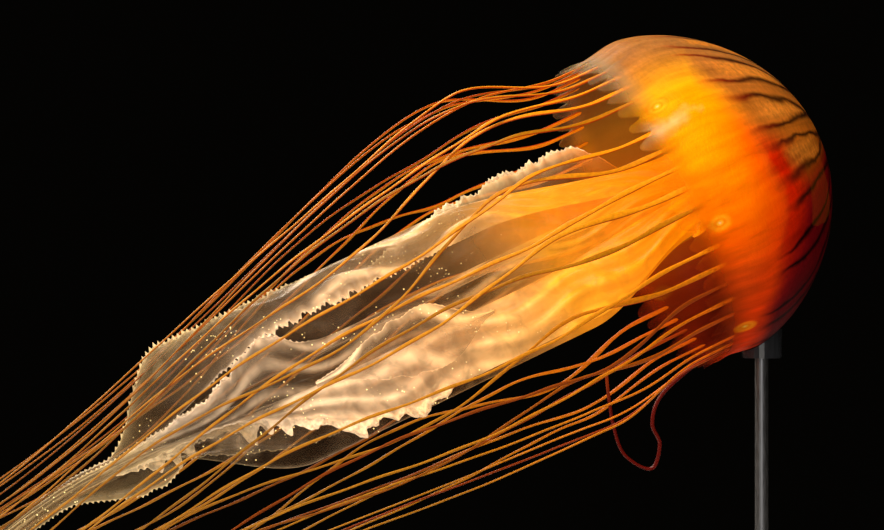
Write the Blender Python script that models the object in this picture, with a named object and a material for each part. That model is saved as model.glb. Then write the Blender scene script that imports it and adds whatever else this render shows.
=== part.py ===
"""A Japanese sea nettle, Chrysaora pacifica, as a still life-size model on a display stand.

The bell, its lobed margin, the mouth tube, four oral arms and forty tentacles trail on one
slanting axis. A flat base, one upright rod and a shaped saddle hold the bell from below.
Everything soft is modelled in the bell's own frame and set in place by one empty:
local +Z is the way the bell swims, local +X is its upper flank and local +Y its near flank.
Angles round the bell run from the upper flank (0) by the near flank (90) to the lower (180).
"""

import math

import bmesh
import bpy
from mathutils import Euler, Matrix, Vector

# ------------------------------------------------------------------ placing, metres and degrees
BELL_CENTRE = Vector((0.040, 0.0, 0.372))
CLIMB = 25.0
HEADING = 11.1
ROLL = 175.3

SEAM_GAP = 0.0003
SOFT_CREASE = 50.0
PLATE_CREASE = 25.0
TURNED_CREASE = 35.0

# ------------------------------------------------------------------ bell
BELL_RADIUS = 0.100
BELL_DEPTH = 0.1115
WIDEST_HEIGHT = 0.024
SHOULDER_POWER = 1.58
MARGIN_RADIUS = 0.97 * BELL_RADIUS
APEX_WALL = 0.014
CUT_WALL = 0.0026
EDGE_WALL = 0.0012
WALL_GROWTH = 1.3
CUT_HEIGHT = 0.010
DOME_COLUMNS = 40
OUTER_ROWS = 8
INNER_ROWS = 5
TANGENT_STEP = 0.002

# ------------------------------------------------------------------ lappets and sense organs
OCTANTS = 8
LAPPETS = 48
CLEFTS_PER_OCTANT = LAPPETS // OCTANTS
FIRST_SENSE_ORGAN = 12.5
CLEFT_HEIGHT = 0.002
LAPPET_LENGTH = 0.0125
LAPPET_PROFILE = (0.0, 0.72, 1.0, 0.72)

# ------------------------------------------------------------------ mouth tube
TUBE_TOP_GAP = 0.0009
TUBE_BOTTOM = 0.022
TUBE_LOBE = 0.16
TUBE_COLUMNS = 24
TUBE_PROFILE = ((0.076, 0.030), (0.060, 0.021), (0.042, 0.021), (TUBE_BOTTOM, 0.025))

# ------------------------------------------------------------------ the trailing stream
DRIFT_BACK = 0.16
STREAM_SWELL = 0.004
STREAM_SWELL_AT = 0.09
STREAM_SWELL_SPREAD = 0.06
STREAM_SAG = 0.034
STREAM_SAG_FROM = 0.10
STREAM_SAG_LENGTH = 0.36
STREAM_END_RADIUS = 0.038
STREAM_NARROWING = 0.059
STREAM_NARROWING_LENGTH = 0.34
STREAM_FLARE = 0.019
STREAM_FLARE_AT = 0.10
ROOT_HOLD = 0.014
ROOT_RELEASE = 0.070

# ------------------------------------------------------------------ oral arms
ARMS = 4
ARM_LENGTH_NAMES = ("upper", "middle", "lower")
ARM_ENDS = (0.440, 0.500, 0.465, 0.520)
ARM_FIRST_CUT = 0.135
ARM_SECOND_CUT = 0.300
ARM_STEPS = 8
ARM_SHEET = 0.0013
ARM_TIP_SHEET = 0.0010
ARM_START_ANGLE = 25.0
ARM_TWIST = -65.0
WING_SPREAD = 32.0
WING_AT = 0.52
WING_FILL_LENGTH = 0.06
FULL_REACH = 0.040
WING_CUP = 9.0
RUFFLE = 0.0042
RIB_START = 0.012
RIB_END = 0.0030
LEAST_MITRE_COSINE = 0.55
ARM_SAG = 0.028
ARM_SAG_FROM = 0.36
ARM_SAG_LENGTH = 0.15
REACH_UP = ((-0.022, 0.22), (0.005, 0.54), (0.06, 0.58), (0.105, 0.50), (0.16, 0.54),
            (0.235, 0.55), (0.305, 0.44), (0.34, 0.20), (0.41, 0.11), (0.52, 0.075))
REACH_DOWN = ((-0.022, 0.22), (0.005, 0.42), (0.07, 0.47), (0.19, 0.54), (0.25, 0.47),
              (0.31, 0.30), (0.37, 0.17), (0.52, 0.075))
REACH_ASIDE = ((-0.022, 0.22), (0.01, 0.42), (0.12, 0.48), (0.22, 0.42), (0.30, 0.28),
               (0.36, 0.15), (0.52, 0.075))

# ------------------------------------------------------------------ tentacles
TENTACLE_STEPS = 13
TENTACLE_SHORTEST = 0.52
TENTACLE_SPREAD = 0.15
TENTACLE_SPACING = 1.3
TAPER_POWER = 0.55
ROOT_START = -0.006
ROOT_HALF_WIDTH = 0.0015
TIP_HALF_WIDTH = 0.0005
ROOT_HALF_THICKNESS = 0.0007
TIP_HALF_THICKNESS = 0.0004
LAYERS = 4
LAYER_STEP = 0.0044
LAYERS_APART_BY = 0.09
SWAY = 8.5
LEAST_SWAY_SHARE = 0.5
SWAY_SHORTEST = 0.24
SWAY_LONGER = 0.20
SWAY_FROM = 0.012
SWAY_FULL_BY = 0.112
GOLDEN = 0.6180339887
SALT_STEP = 0.3719
HOOKED = 183.0
HOOK_ANGLE = 191.5
HOOK_TURN_FROM = 0.35
HOOK_TURN_SHARE = 0.4
HOOK_ROOT_END = 0.004
HOOK_TAPER = 0.4
HOOK_ROUTE = ((0.020, 0.97), (0.040, 1.04), (0.0500, 1.16), (0.0500, 1.30), (0.0595, 1.425),
              (0.0700, 1.29), (0.0695, 1.10), (0.0640, 0.88), (0.0600, 0.76))

# ------------------------------------------------------------------ stand
BASE_LENGTH = 0.360
BASE_WIDTH = 0.220
BASE_THICKNESS = 0.012
BASE_CORNER = 0.012
BASE_CHAMFER = 0.002
CORNER_STEPS = 3
ROD_RADIUS = 0.004
SADDLE_RADIUS = 0.012
SADDLE_RINGS = (0.5, 1.0)
SADDLE_LIFT = 0.004
SADDLE_GAP = 0.0009
SADDLE_PLACE = (0.070, 0.013)
ROUND_SIDES = 24
HALVINGS = 40


def ease(value):
    """Rises smoothly from 0 to 1 as value goes from 0 to 1."""
    value = min(max(value, 0.0), 1.0)
    return value * value * (3.0 - 2.0 * value)


def share(index, salt):
    """An even spread of values from 0 to 1 that looks unordered."""
    return (index * GOLDEN + salt * SALT_STEP) % 1.0


def along_knots(knots, place):
    """Reads a smooth curve through a few (place, value) knots."""
    if place <= knots[0][0]:
        return knots[0][1]
    for (start, low), (end, high) in zip(knots, knots[1:]):
        if place <= end:
            return low + (high - low) * ease((place - start) / (end - start))
    return knots[-1][1]


def smooth_route(points, amount):
    """Reads a Catmull-Rom curve through (a, b) points; amount runs from 0 to 1."""
    spans = len(points) - 1
    span = min(int(amount * spans), spans - 1)
    t = amount * spans - span
    before = points[max(span - 1, 0)]
    start = points[span]
    end = points[span + 1]
    after = points[min(span + 2, spans)]
    result = []
    for p0, p1, p2, p3 in zip(before, start, end, after):
        bend = 2.0 * p1 + (p2 - p0) * t
        bend += (2.0 * p0 - 5.0 * p1 + 4.0 * p2 - p3) * t * t
        bend += (3.0 * p1 - p0 - 3.0 * p2 + p3) * t ** 3
        result.append(0.5 * bend)
    return result


# ------------------------------------------------------------------ scene helpers
def clear_scene():
    """Removes every object, mesh and material left in the file."""
    for thing in list(bpy.data.objects):
        bpy.data.objects.remove(thing, do_unlink=True)
    for mesh in list(bpy.data.meshes):
        bpy.data.meshes.remove(mesh)
    for material in list(bpy.data.materials):
        bpy.data.materials.remove(material)


def principled(name, colour, roughness, metallic=0.0):
    """Makes a Principled material of one linear colour."""
    material = bpy.data.materials.new(name)
    material.use_nodes = True
    shader = material.node_tree.nodes["Principled BSDF"]
    shader.inputs["Base Color"].default_value = (*colour, 1.0)
    shader.inputs["Roughness"].default_value = roughness
    shader.inputs["Metallic"].default_value = metallic
    material.diffuse_color = (*colour, 1.0)
    return material


def add_object(name, points, faces, material, parent=None, crease=SOFT_CREASE):
    """Makes a named object from points and faces, shaded smooth except at sharp edges."""
    mesh = bpy.data.meshes.new(name)
    mesh.from_pydata([tuple(point) for point in points], [], faces)
    work = bmesh.new()
    work.from_mesh(mesh)
    bmesh.ops.recalc_face_normals(work, faces=work.faces)
    work.to_mesh(mesh)
    work.free()
    mesh.shade_smooth()
    mesh.set_sharp_from_angle(angle=math.radians(crease))
    mesh.materials.append(material)
    thing = bpy.data.objects.new(name, mesh)
    bpy.context.scene.collection.objects.link(thing)
    thing.parent = parent


def bridge(rings, closed_profile=False):
    """Faces between neighbouring rings of equal counts, each ring a closed loop."""
    count = len(rings[0])
    faces = []
    pairs = list(zip(rings, rings[1:]))
    if closed_profile:
        pairs.append((rings[-1], rings[0]))
    for lower, upper in pairs:
        for index in range(count):
            after = (index + 1) % count
            faces.append((lower[index], lower[after], upper[after], upper[index]))
    return faces


def fan(centre, ring):
    """Faces from one point to every edge of a ring."""
    return [(centre, ring[index], ring[(index + 1) % len(ring)]) for index in range(len(ring))]


# ------------------------------------------------------------------ bell outline
def bell_turn(turn):
    """Radius and height on the outside of the bell; turn is 0 at the apex, 1 at the widest."""
    angle = math.radians(90.0 * turn)
    rise = max(math.cos(angle), 0.0) ** (2.0 / SHOULDER_POWER)
    return BELL_RADIUS * math.sin(angle), WIDEST_HEIGHT + (BELL_DEPTH - WIDEST_HEIGHT) * rise


def bell_below_widest(height):
    """Radius on the outside of the bell from its widest level down to the lappet tips."""
    drop = ease((WIDEST_HEIGHT - height) / WIDEST_HEIGHT)
    return BELL_RADIUS + (MARGIN_RADIUS - BELL_RADIUS) * drop


def bell_wall(height):
    """Wall thickness, which grows from the lappet tips to the apex."""
    if height < CUT_HEIGHT:
        share_up = ease((height + LAPPET_LENGTH) / (CUT_HEIGHT + LAPPET_LENGTH))
        return EDGE_WALL + (CUT_WALL - EDGE_WALL) * share_up
    share_up = (height - CUT_HEIGHT) / (BELL_DEPTH - CUT_HEIGHT)
    return CUT_WALL + (APEX_WALL - CUT_WALL) * share_up ** WALL_GROWTH


def bell_inside(turn):
    """Radius and height on the inside of the bell above its widest level."""
    radius_a, height_a = bell_turn(max(turn - TANGENT_STEP, 0.0))
    radius_b, height_b = bell_turn(min(turn + TANGENT_STEP, 1.0))
    radius, height = bell_turn(turn)
    tangent = Vector((radius_b - radius_a, height_b - height_a)).normalized()
    wall = bell_wall(height)
    return max(radius + tangent.y * wall, 0.0), height - tangent.x * wall


def bell_point(radius, angle, height):
    """A point in the bell's frame from its radius, angle in degrees and height."""
    turn = math.radians(angle)
    return Vector((radius * math.cos(turn), radius * math.sin(turn), height))


def add_ring(points, radius, height, columns):
    """Adds one round ring of points and returns their numbers."""
    start = len(points)
    for column in range(columns):
        points.append(bell_point(radius, 360.0 * column / columns, height))
    return list(range(start, start + columns))


def make_dome(material, parent):
    """The bell above the cut: one shell, thick at the apex, open below."""
    points = [Vector((0.0, 0.0, BELL_DEPTH)), Vector((0.0, 0.0, BELL_DEPTH - APEX_WALL))]
    bottom = CUT_HEIGHT + 0.5 * SEAM_GAP
    outer = []
    for row in range(1, OUTER_ROWS + 1):
        outer.append(add_ring(points, *bell_turn(row / OUTER_ROWS), DOME_COLUMNS))
    radius = bell_below_widest(bottom)
    outer.append(add_ring(points, radius, bottom, DOME_COLUMNS))
    inner = [add_ring(points, radius - bell_wall(bottom), bottom, DOME_COLUMNS)]
    for row in range(INNER_ROWS, 0, -1):
        inner.append(add_ring(points, *bell_inside(row / INNER_ROWS), DOME_COLUMNS))
    faces = fan(0, outer[0]) + bridge(outer + inner) + fan(1, inner[-1])
    add_object("bell_dome", points, faces, material, parent)


def make_margin(material, parent):
    """The bell below the cut, with its lappets between the clefts, as one ring."""
    points = []
    rings = [[], [], [], []]
    steps = len(LAPPET_PROFILE)
    top = CUT_HEIGHT - 0.5 * SEAM_GAP
    for lappet in range(LAPPETS):
        for step, reach in enumerate(LAPPET_PROFILE):
            angle = FIRST_SENSE_ORGAN + 360.0 / LAPPETS * (lappet + step / steps)
            edge = CLEFT_HEIGHT - reach * (CLEFT_HEIGHT + LAPPET_LENGTH)
            stations = ((bell_below_widest(top), top),
                        (bell_below_widest(edge), edge),
                        (bell_below_widest(edge) - bell_wall(edge), edge),
                        (bell_below_widest(top) - bell_wall(top), top))
            for ring, (radius, height) in zip(rings, stations):
                ring.append(len(points))
                points.append(bell_point(radius, angle, height))
    add_object("bell_margin", points, bridge(rings, True), material, parent)


def make_mouth_tube(material, parent):
    """The tube that hangs from the middle of the bell, four-lobed towards the mouth."""
    ceiling = BELL_DEPTH - APEX_WALL - TUBE_TOP_GAP
    points = [Vector((0.0, 0.0, ceiling)), Vector((0.0, 0.0, TUBE_BOTTOM))]
    radius, height = bell_inside(1.0 / INNER_ROWS)
    rings = [add_ring(points, radius, height - TUBE_TOP_GAP, TUBE_COLUMNS)]
    top_height = TUBE_PROFILE[0][0]
    for height, mean_radius in TUBE_PROFILE:
        lobe = TUBE_LOBE * (top_height - height) / (top_height - TUBE_BOTTOM)
        ring = []
        for column in range(TUBE_COLUMNS):
            angle = 360.0 * column / TUBE_COLUMNS
            swell = math.cos(math.radians(ARMS * (angle - arm_angle(0, -TUBE_BOTTOM))))
            ring.append(len(points))
            points.append(bell_point(mean_radius * (1.0 + lobe * swell), angle, height))
        rings.append(ring)
    faces = fan(0, rings[0]) + bridge(rings) + fan(1, rings[-1])
    add_object("manubrium", points, faces, material, parent)


# ------------------------------------------------------------------ the trailing stream
def stream_rise(distance):
    """How far the middle of the tentacles lies above the swimming axis."""
    swell = STREAM_SWELL * math.exp(-((distance - STREAM_SWELL_AT) / STREAM_SWELL_SPREAD) ** 2)
    swell *= ease(distance / STREAM_SWELL_AT)
    return swell - STREAM_SAG * ease((distance - STREAM_SAG_FROM) / STREAM_SAG_LENGTH)


def stream_radius(distance):
    """Radius of the tube of tentacles, which swells past the margin and then draws in."""
    narrowing = STREAM_NARROWING * math.exp(-(distance / STREAM_NARROWING_LENGTH) ** 2)
    along = distance / STREAM_FLARE_AT
    return STREAM_END_RADIUS + narrowing + STREAM_FLARE * along * math.exp(1.0 - along)


def stream_point(x, y, distance):
    """A point beside the stream's axis, which curves gently back from the near side."""
    return Vector((x, y - DRIFT_BACK * distance * distance, -distance))


# ------------------------------------------------------------------ oral arms
def arm_angle(arm, distance):
    """Direction of an arm's rib from the axis; the four arms twist together."""
    return ARM_START_ANGLE + 360.0 / ARMS * arm + ARM_TWIST * max(distance, 0.0)


def arm_rise(distance):
    """How far the middle of the arms lies above the swimming axis."""
    return -ARM_SAG * ease((distance - ARM_SAG_FROM) / ARM_SAG_LENGTH)


def arm_reach(angle, distance):
    """How far the lips reach from the axis towards an angle."""
    aside = along_knots(REACH_ASIDE, distance)
    upward = math.cos(math.radians(angle))
    knots = REACH_UP if upward > 0.0 else REACH_DOWN
    return BELL_RADIUS * (aside + (along_knots(knots, distance) - aside) * upward * upward)


def arm_section(arm, distance, step):
    """Middle line of an arm's cross-section: lip, wing, rib, wing, lip, as a cupped V."""
    rib_angle = arm_angle(arm, distance)
    rib_radius = along_knots(((-TUBE_BOTTOM, RIB_START), (ARM_ENDS[arm], RIB_END)), distance)
    middle = []
    for side in (-1.0, 0.0, 1.0):
        if side == 0.0:
            middle.append([(rib_radius, rib_angle)])
            continue
        lip_angle = rib_angle + side * WING_SPREAD
        reach = arm_reach(lip_angle, distance)
        fullness = ease((distance + TUBE_BOTTOM) / WING_FILL_LENGTH) * min(reach / FULL_REACH, 1.0)
        wave = RUFFLE * fullness * (-1.0) ** (step + arm)
        wing = rib_radius + WING_AT * (reach - rib_radius)
        cup = WING_CUP * fullness * side
        pair = [(reach, lip_angle + math.degrees(wave / reach)), (wing, lip_angle + cup)]
        middle.append(pair if side < 0.0 else pair[::-1])
    flat = [place for part in middle for place in part]
    return [bell_point(radius, angle, 0.0) for radius, angle in flat]


def sheet_sides(middle, thickness):
    """Offsets a flat middle line to both sides, mitred at its corners."""
    upper = []
    lower = []
    for index, point in enumerate(middle):
        before = (point - middle[index - 1]).normalized() if index else None
        after = (middle[index + 1] - point).normalized() if index + 1 < len(middle) else None
        along = ((before or after) + (after or before)).normalized()
        mitre = 1.0 / max(along.dot(after or before), LEAST_MITRE_COSINE)
        normal = Vector((-along.y, along.x, 0.0)) * (0.5 * thickness * mitre)
        upper.append(point + normal)
        lower.append(point - normal)
    return upper, lower


def halves(face, from_second):
    """Two triangles of a four-sided face, cut from its first or its second corner."""
    a, b, c, d = face
    return [(b, c, d), (b, d, a)] if from_second else [(a, b, c), (a, c, d)]


def make_arm_length(arm, number, start, end, material, parent):
    """One length of an oral arm, a pleated sheet folded along its rib."""
    points = []
    rings = []
    for step in range(ARM_STEPS + 1):
        distance = start + (end - start) * step / ARM_STEPS
        tip_share = (distance + TUBE_BOTTOM) / (ARM_ENDS[arm] + TUBE_BOTTOM)
        thickness = ARM_SHEET + (ARM_TIP_SHEET - ARM_SHEET) * tip_share
        middle = arm_section(arm, distance, step)
        upper, lower = sheet_sides(middle, thickness)
        rings.append(list(range(len(points), len(points) + 2 * len(middle))))
        rise = arm_rise(distance)
        points.extend(stream_point(p.x + rise, p.y, distance) for p in upper + lower[::-1])
    count = len(rings[0])
    faces = []
    for number_of_face, face in enumerate(bridge(rings)):
        faces.extend(halves(face, number_of_face % count >= count // 2))
    for ring in (rings[0], rings[-1]):
        for index in range(count // 2 - 1):
            far = count - 1 - index
            faces.append((ring[index], ring[index + 1], ring[far - 1], ring[far]))
    name = f"oral_arm_{arm + 1}_{ARM_LENGTH_NAMES[number]}"
    add_object(name, points, faces, material, parent)


def make_arms(material, parent):
    """Four oral arms, each in three lengths."""
    for arm, arm_end in enumerate(ARM_ENDS):
        cuts = (-TUBE_BOTTOM + SEAM_GAP, ARM_FIRST_CUT, ARM_SECOND_CUT, arm_end)
        for number, (start, end) in enumerate(zip(cuts, cuts[1:])):
            first = start + (SEAM_GAP if number else 0.0)
            make_arm_length(arm, number, first, end, material, parent)


# ------------------------------------------------------------------ tentacles
def tentacle_angles():
    """The clefts that hold a tentacle: five in each octant, beside its sense organ."""
    spacing = 360.0 / LAPPETS
    places = [place for place in range(LAPPETS) if place % CLEFTS_PER_OCTANT]
    return [FIRST_SENSE_ORGAN + spacing * place for place in places]


def root_radius():
    """Radius of a tentacle's middle where it lies against the inside of the margin."""
    return MARGIN_RADIUS - bell_wall(-ROOT_START) - SEAM_GAP - ROOT_HALF_THICKNESS


def trailing_place(number, angle, distance):
    """Radius and angle of a freely trailing tentacle at a distance behind the margin."""
    free = ease((distance - ROOT_HOLD) / ROOT_RELEASE)
    layer = LAYER_STEP * (number % LAYERS) * ease(distance / LAYERS_APART_BY)
    radius = root_radius() * (1.0 - free) + (stream_radius(distance) - layer) * free
    wave = SWAY_SHORTEST + SWAY_LONGER * share(number, 1)
    phase = 2.0 * math.pi * share(number, 2)
    swing = math.sin(2.0 * math.pi * distance / wave + phase)
    sway = SWAY * (LEAST_SWAY_SHARE + (1.0 - LEAST_SWAY_SHARE) * share(number, 3))
    sway *= ease((distance - SWAY_FROM) / (SWAY_FULL_BY - SWAY_FROM))
    return radius, angle + sway * swing


def is_hooked(angle):
    """Whether this cleft's tentacle is the one that turns back in a hook."""
    return abs(angle - HOOKED) < 180.0 / LAPPETS


def hooked_place(angle, amount):
    """Radius, angle and distance along the one tentacle that turns back in a hook."""
    distance, reach = smooth_route(((ROOT_START, root_radius() / BELL_RADIUS),
                                    (HOOK_ROOT_END, root_radius() / BELL_RADIUS),
                                    *HOOK_ROUTE), amount)
    turn = ease((amount - HOOK_TURN_FROM) / HOOK_TURN_SHARE)
    return BELL_RADIUS * reach, angle + (HOOK_ANGLE - angle) * turn, distance


def tentacle_line(number, angle):
    """Middle points of a tentacle, with the direction across its flat side at each."""
    length = TENTACLE_SHORTEST + TENTACLE_SPREAD * share(number, 4)
    line = []
    for step in range(TENTACLE_STEPS + 1):
        amount = step / TENTACLE_STEPS
        if is_hooked(angle):
            radius, turn, distance = hooked_place(angle, amount)
            rise = 0.0
        else:
            distance = ROOT_START + (length - ROOT_START) * amount ** TENTACLE_SPACING
            radius, turn = trailing_place(number, angle, distance)
            rise = stream_rise(distance)
        outward = bell_point(1.0, turn, 0.0)
        middle = stream_point(radius * outward.x + rise, radius * outward.y, distance)
        line.append((middle, Vector((-outward.y, outward.x, 0.0))))
    return line


def make_tentacle(number, angle, material, parent):
    """One tentacle as a thin flat band that tapers to its tip, the hooked one least."""
    line = tentacle_line(number, angle)
    narrowing = HOOK_TAPER if is_hooked(angle) else 1.0
    points = []
    rings = []
    for step, (middle, across) in enumerate(line):
        ahead = line[min(step + 1, TENTACLE_STEPS)][0] - line[max(step - 1, 0)][0]
        forward = ahead.normalized()
        side = (across - forward * across.dot(forward)).normalized()
        face = forward.cross(side)
        taper = narrowing * (step / TENTACLE_STEPS) ** TAPER_POWER
        half_width = ROOT_HALF_WIDTH + (TIP_HALF_WIDTH - ROOT_HALF_WIDTH) * taper
        half_thick = ROOT_HALF_THICKNESS + (TIP_HALF_THICKNESS - ROOT_HALF_THICKNESS) * taper
        rings.append(list(range(len(points), len(points) + 4)))
        for along, up in ((1, 1), (-1, 1), (-1, -1), (1, -1)):
            points.append(middle + side * (along * half_width) + face * (up * half_thick))
    faces = bridge(rings) + [tuple(rings[0]), tuple(rings[-1])]
    add_object(f"tentacle_{number + 1:02d}", points, faces, material, parent)


def make_tentacles(material, parent):
    """Forty tentacles, one from each cleft without a sense organ."""
    for number, angle in enumerate(tentacle_angles()):
        make_tentacle(number, angle, material, parent)


# ------------------------------------------------------------------ stand
def bell_underside(place, x, y):
    """Height of the bell's outer surface right above a point of the floor."""
    inverse = place.inverted()
    low = BELL_CENTRE.z - 2.0 * BELL_RADIUS
    high = BELL_CENTRE.z
    for _ in range(HALVINGS):
        middle = 0.5 * (low + high)
        local = inverse @ Vector((x, y, middle))
        if inside_bell(math.hypot(local.x, local.y), local.z):
            high = middle
        else:
            low = middle
    return low


def inside_bell(radius, height):
    """Tells whether a place lies within the bell's outer outline."""
    if height >= BELL_DEPTH:
        return False
    if height <= WIDEST_HEIGHT:
        return radius < bell_below_widest(height)
    rise = (height - WIDEST_HEIGHT) / (BELL_DEPTH - WIDEST_HEIGHT)
    return radius < BELL_RADIUS * math.sqrt(1.0 - rise ** SHOULDER_POWER)


def make_base(material):
    """The flat base, a plate with round corners and chamfered upper edges."""
    outline = []
    half = (0.5 * BASE_LENGTH - BASE_CORNER, 0.5 * BASE_WIDTH - BASE_CORNER)
    for corner, (sign_x, sign_y) in enumerate(((1, 1), (-1, 1), (-1, -1), (1, -1))):
        for step in range(CORNER_STEPS + 1):
            turn = math.radians(90.0 * (corner + step / CORNER_STEPS))
            outline.append((sign_x * half[0], sign_y * half[1], math.cos(turn), math.sin(turn)))
    points = []
    rings = []
    for height, corner in ((0.0, BASE_CORNER), (BASE_THICKNESS - BASE_CHAMFER, BASE_CORNER),
                           (BASE_THICKNESS, BASE_CORNER - BASE_CHAMFER)):
        rings.append(list(range(len(points), len(points) + len(outline))))
        for x, y, cosine, sine in outline:
            points.append(Vector((x + corner * cosine, y + corner * sine, height)))
    faces = bridge(rings) + [tuple(rings[0]), tuple(rings[-1])]
    add_object("stand_base", points, faces, material, crease=PLATE_CREASE)


def make_rod_and_saddle(rod_material, saddle_material, place):
    """The upright rod and the short round saddle whose top follows the bell."""
    centre_x = BELL_CENTRE.x + SADDLE_PLACE[0]
    centre_y = BELL_CENTRE.y + SADDLE_PLACE[1]
    rim = []
    for side in range(ROUND_SIDES):
        turn = 2.0 * math.pi * side / ROUND_SIDES
        rim.append((math.cos(turn), math.sin(turn)))
    points = []
    rings = []
    for scale in SADDLE_RINGS:
        rings.append(list(range(len(points), len(points) + ROUND_SIDES)))
        for cosine, sine in rim:
            x = centre_x + SADDLE_RADIUS * scale * cosine
            y = centre_y + SADDLE_RADIUS * scale * sine
            points.append(Vector((x, y, bell_underside(place, x, y) - SADDLE_GAP)))
    bottom = min(point.z for point in points) - SADDLE_LIFT
    rings.append(list(range(len(points), len(points) + ROUND_SIDES)))
    for cosine, sine in rim:
        points.append(Vector((centre_x + SADDLE_RADIUS * cosine,
                              centre_y + SADDLE_RADIUS * sine, bottom)))
    middle = len(points)
    points.append(Vector((centre_x, centre_y,
                          bell_underside(place, centre_x, centre_y) - SADDLE_GAP)))
    faces = fan(middle, rings[0]) + bridge(rings) + [tuple(rings[-1])]
    add_object("stand_saddle", points, faces, saddle_material, crease=TURNED_CREASE)

    points = []
    rings = []
    for height in (BASE_THICKNESS + SEAM_GAP, bottom - SEAM_GAP):
        rings.append(list(range(len(points), len(points) + ROUND_SIDES)))
        for cosine, sine in rim:
            points.append(Vector((centre_x + ROD_RADIUS * cosine,
                                  centre_y + ROD_RADIUS * sine, height)))
    faces = bridge(rings) + [tuple(rings[0]), tuple(rings[-1])]
    add_object("stand_rod", points, faces, rod_material, crease=TURNED_CREASE)


def bell_placing():
    """The turn and place that carry the bell's own frame into the world."""
    turn = Euler((0.0, 0.0, math.radians(HEADING))).to_matrix().to_4x4()
    turn = turn @ Euler((0.0, math.radians(90.0 - CLIMB), 0.0)).to_matrix().to_4x4()
    turn = turn @ Euler((0.0, 0.0, math.radians(ROLL))).to_matrix().to_4x4()
    return Matrix.Translation(BELL_CENTRE) @ turn


def main():
    """Builds the animal and its stand."""
    clear_scene()
    place = bell_placing()
    frame = bpy.data.objects.new("swimming_axis", None)
    bpy.context.scene.collection.objects.link(frame)
    frame.matrix_world = place

    bell = principled("bell_jelly", (0.72, 0.24, 0.035), 0.30)
    margin = principled("margin_jelly", (0.80, 0.33, 0.05), 0.30)
    mouth = principled("mouth_tissue", (0.85, 0.40, 0.06), 0.35)
    lips = principled("oral_arm_tissue", (0.83, 0.62, 0.40), 0.40)
    band = principled("tentacle_tissue", (0.62, 0.24, 0.02), 0.30)
    plate = principled("black_acrylic", (0.012, 0.012, 0.013), 0.25)
    steel = principled("steel_rod", (0.18, 0.18, 0.19), 0.38, metallic=1.0)
    pad = principled("saddle_acrylic", (0.025, 0.027, 0.032), 0.20)

    make_dome(bell, frame)
    make_margin(margin, frame)
    make_mouth_tube(mouth, frame)
    make_arms(lips, frame)
    make_tentacles(band, frame)
    make_base(plate)
    make_rod_and_saddle(steel, pad, place)
    bpy.context.view_layer.update()


main()
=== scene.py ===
"""Dresses the Japanese sea nettle, a still life-size model held over a display stand.

The bell, the mouth tube, the four oral arms and the forty tentacles each get a skin in the
place of their solids. Soft forms are worked out in the bell's own frame, where +Z is the way
the bell swims, +X its upper flank and +Y its near flank, and distances run back along -Z.
"""

import logging
import math
from dataclasses import dataclass, field
from enum import Enum
from typing import Optional, Union

import bpy
import numpy as np
from mathutils import Euler, Matrix, Vector

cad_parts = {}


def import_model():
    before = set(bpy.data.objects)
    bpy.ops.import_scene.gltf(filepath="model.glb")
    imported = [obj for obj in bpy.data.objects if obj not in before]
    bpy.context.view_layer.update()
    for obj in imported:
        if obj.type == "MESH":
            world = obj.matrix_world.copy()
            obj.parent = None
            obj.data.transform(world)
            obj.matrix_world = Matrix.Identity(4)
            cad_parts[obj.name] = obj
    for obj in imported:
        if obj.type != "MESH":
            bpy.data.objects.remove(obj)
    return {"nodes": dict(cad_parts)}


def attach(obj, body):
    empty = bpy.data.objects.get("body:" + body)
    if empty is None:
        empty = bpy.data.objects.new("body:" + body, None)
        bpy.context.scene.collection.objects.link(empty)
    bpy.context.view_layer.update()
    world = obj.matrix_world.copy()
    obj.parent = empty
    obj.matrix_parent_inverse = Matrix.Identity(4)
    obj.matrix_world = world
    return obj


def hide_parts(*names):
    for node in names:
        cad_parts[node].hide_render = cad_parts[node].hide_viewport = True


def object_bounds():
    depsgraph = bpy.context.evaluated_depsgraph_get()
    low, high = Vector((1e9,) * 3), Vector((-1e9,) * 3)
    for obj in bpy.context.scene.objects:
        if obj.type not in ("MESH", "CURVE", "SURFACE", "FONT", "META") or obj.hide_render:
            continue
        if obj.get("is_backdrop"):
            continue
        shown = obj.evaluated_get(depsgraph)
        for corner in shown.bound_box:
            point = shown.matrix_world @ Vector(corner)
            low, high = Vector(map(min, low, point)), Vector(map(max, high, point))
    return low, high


LOG = logging.getLogger("sea_nettle")
Array = np.ndarray
NodeInput = Union[float, tuple, bpy.types.NodeSocket, bpy.types.Node]
Sockets = tuple[tuple[str, Union[float, tuple]], ...]
MM = 0.001
# clear layers that light may pass, since veils and tentacles lie over one another
CLEAR_LAYERS = 40

# Blender's names of the node kinds that the finishes use most, and two of their settings
MATH = "ShaderNodeMath"
RANGE = "ShaderNodeMapRange"
RAMP = "ShaderNodeValToRGB"
MIX = "ShaderNodeMix"
NOISE = "ShaderNodeTexNoise"
STORED = "ShaderNodeAttribute"
VECTOR = "ShaderNodeVectorMath"
JOIN = "ShaderNodeCombineXYZ"
SPLIT = "ShaderNodeSeparateXYZ"
SMOOTH = {"interpolation_type": "SMOOTHSTEP"}
COLOURS = {"data_type": "RGBA"}


# ------------------------------------------------------------------ shared helpers
def linear(code: str, alpha: float = 1.0) -> tuple[float, float, float, float]:
    """Turns an sRGB hex colour into linear values.

    Args:
        code: Six hex digits, with or without a leading hash.
        alpha: Value for the fourth channel.

    Returns:
        Linear red, green, blue and alpha.
    """
    digits = code.lstrip("#")
    values = [int(digits[start:start + 2], 16) / 255.0 for start in (0, 2, 4)]
    bent = [v / 12.92 if v <= 0.04045 else ((v + 0.055) / 1.055) ** 2.4 for v in values]
    return bent[0], bent[1], bent[2], alpha


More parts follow.
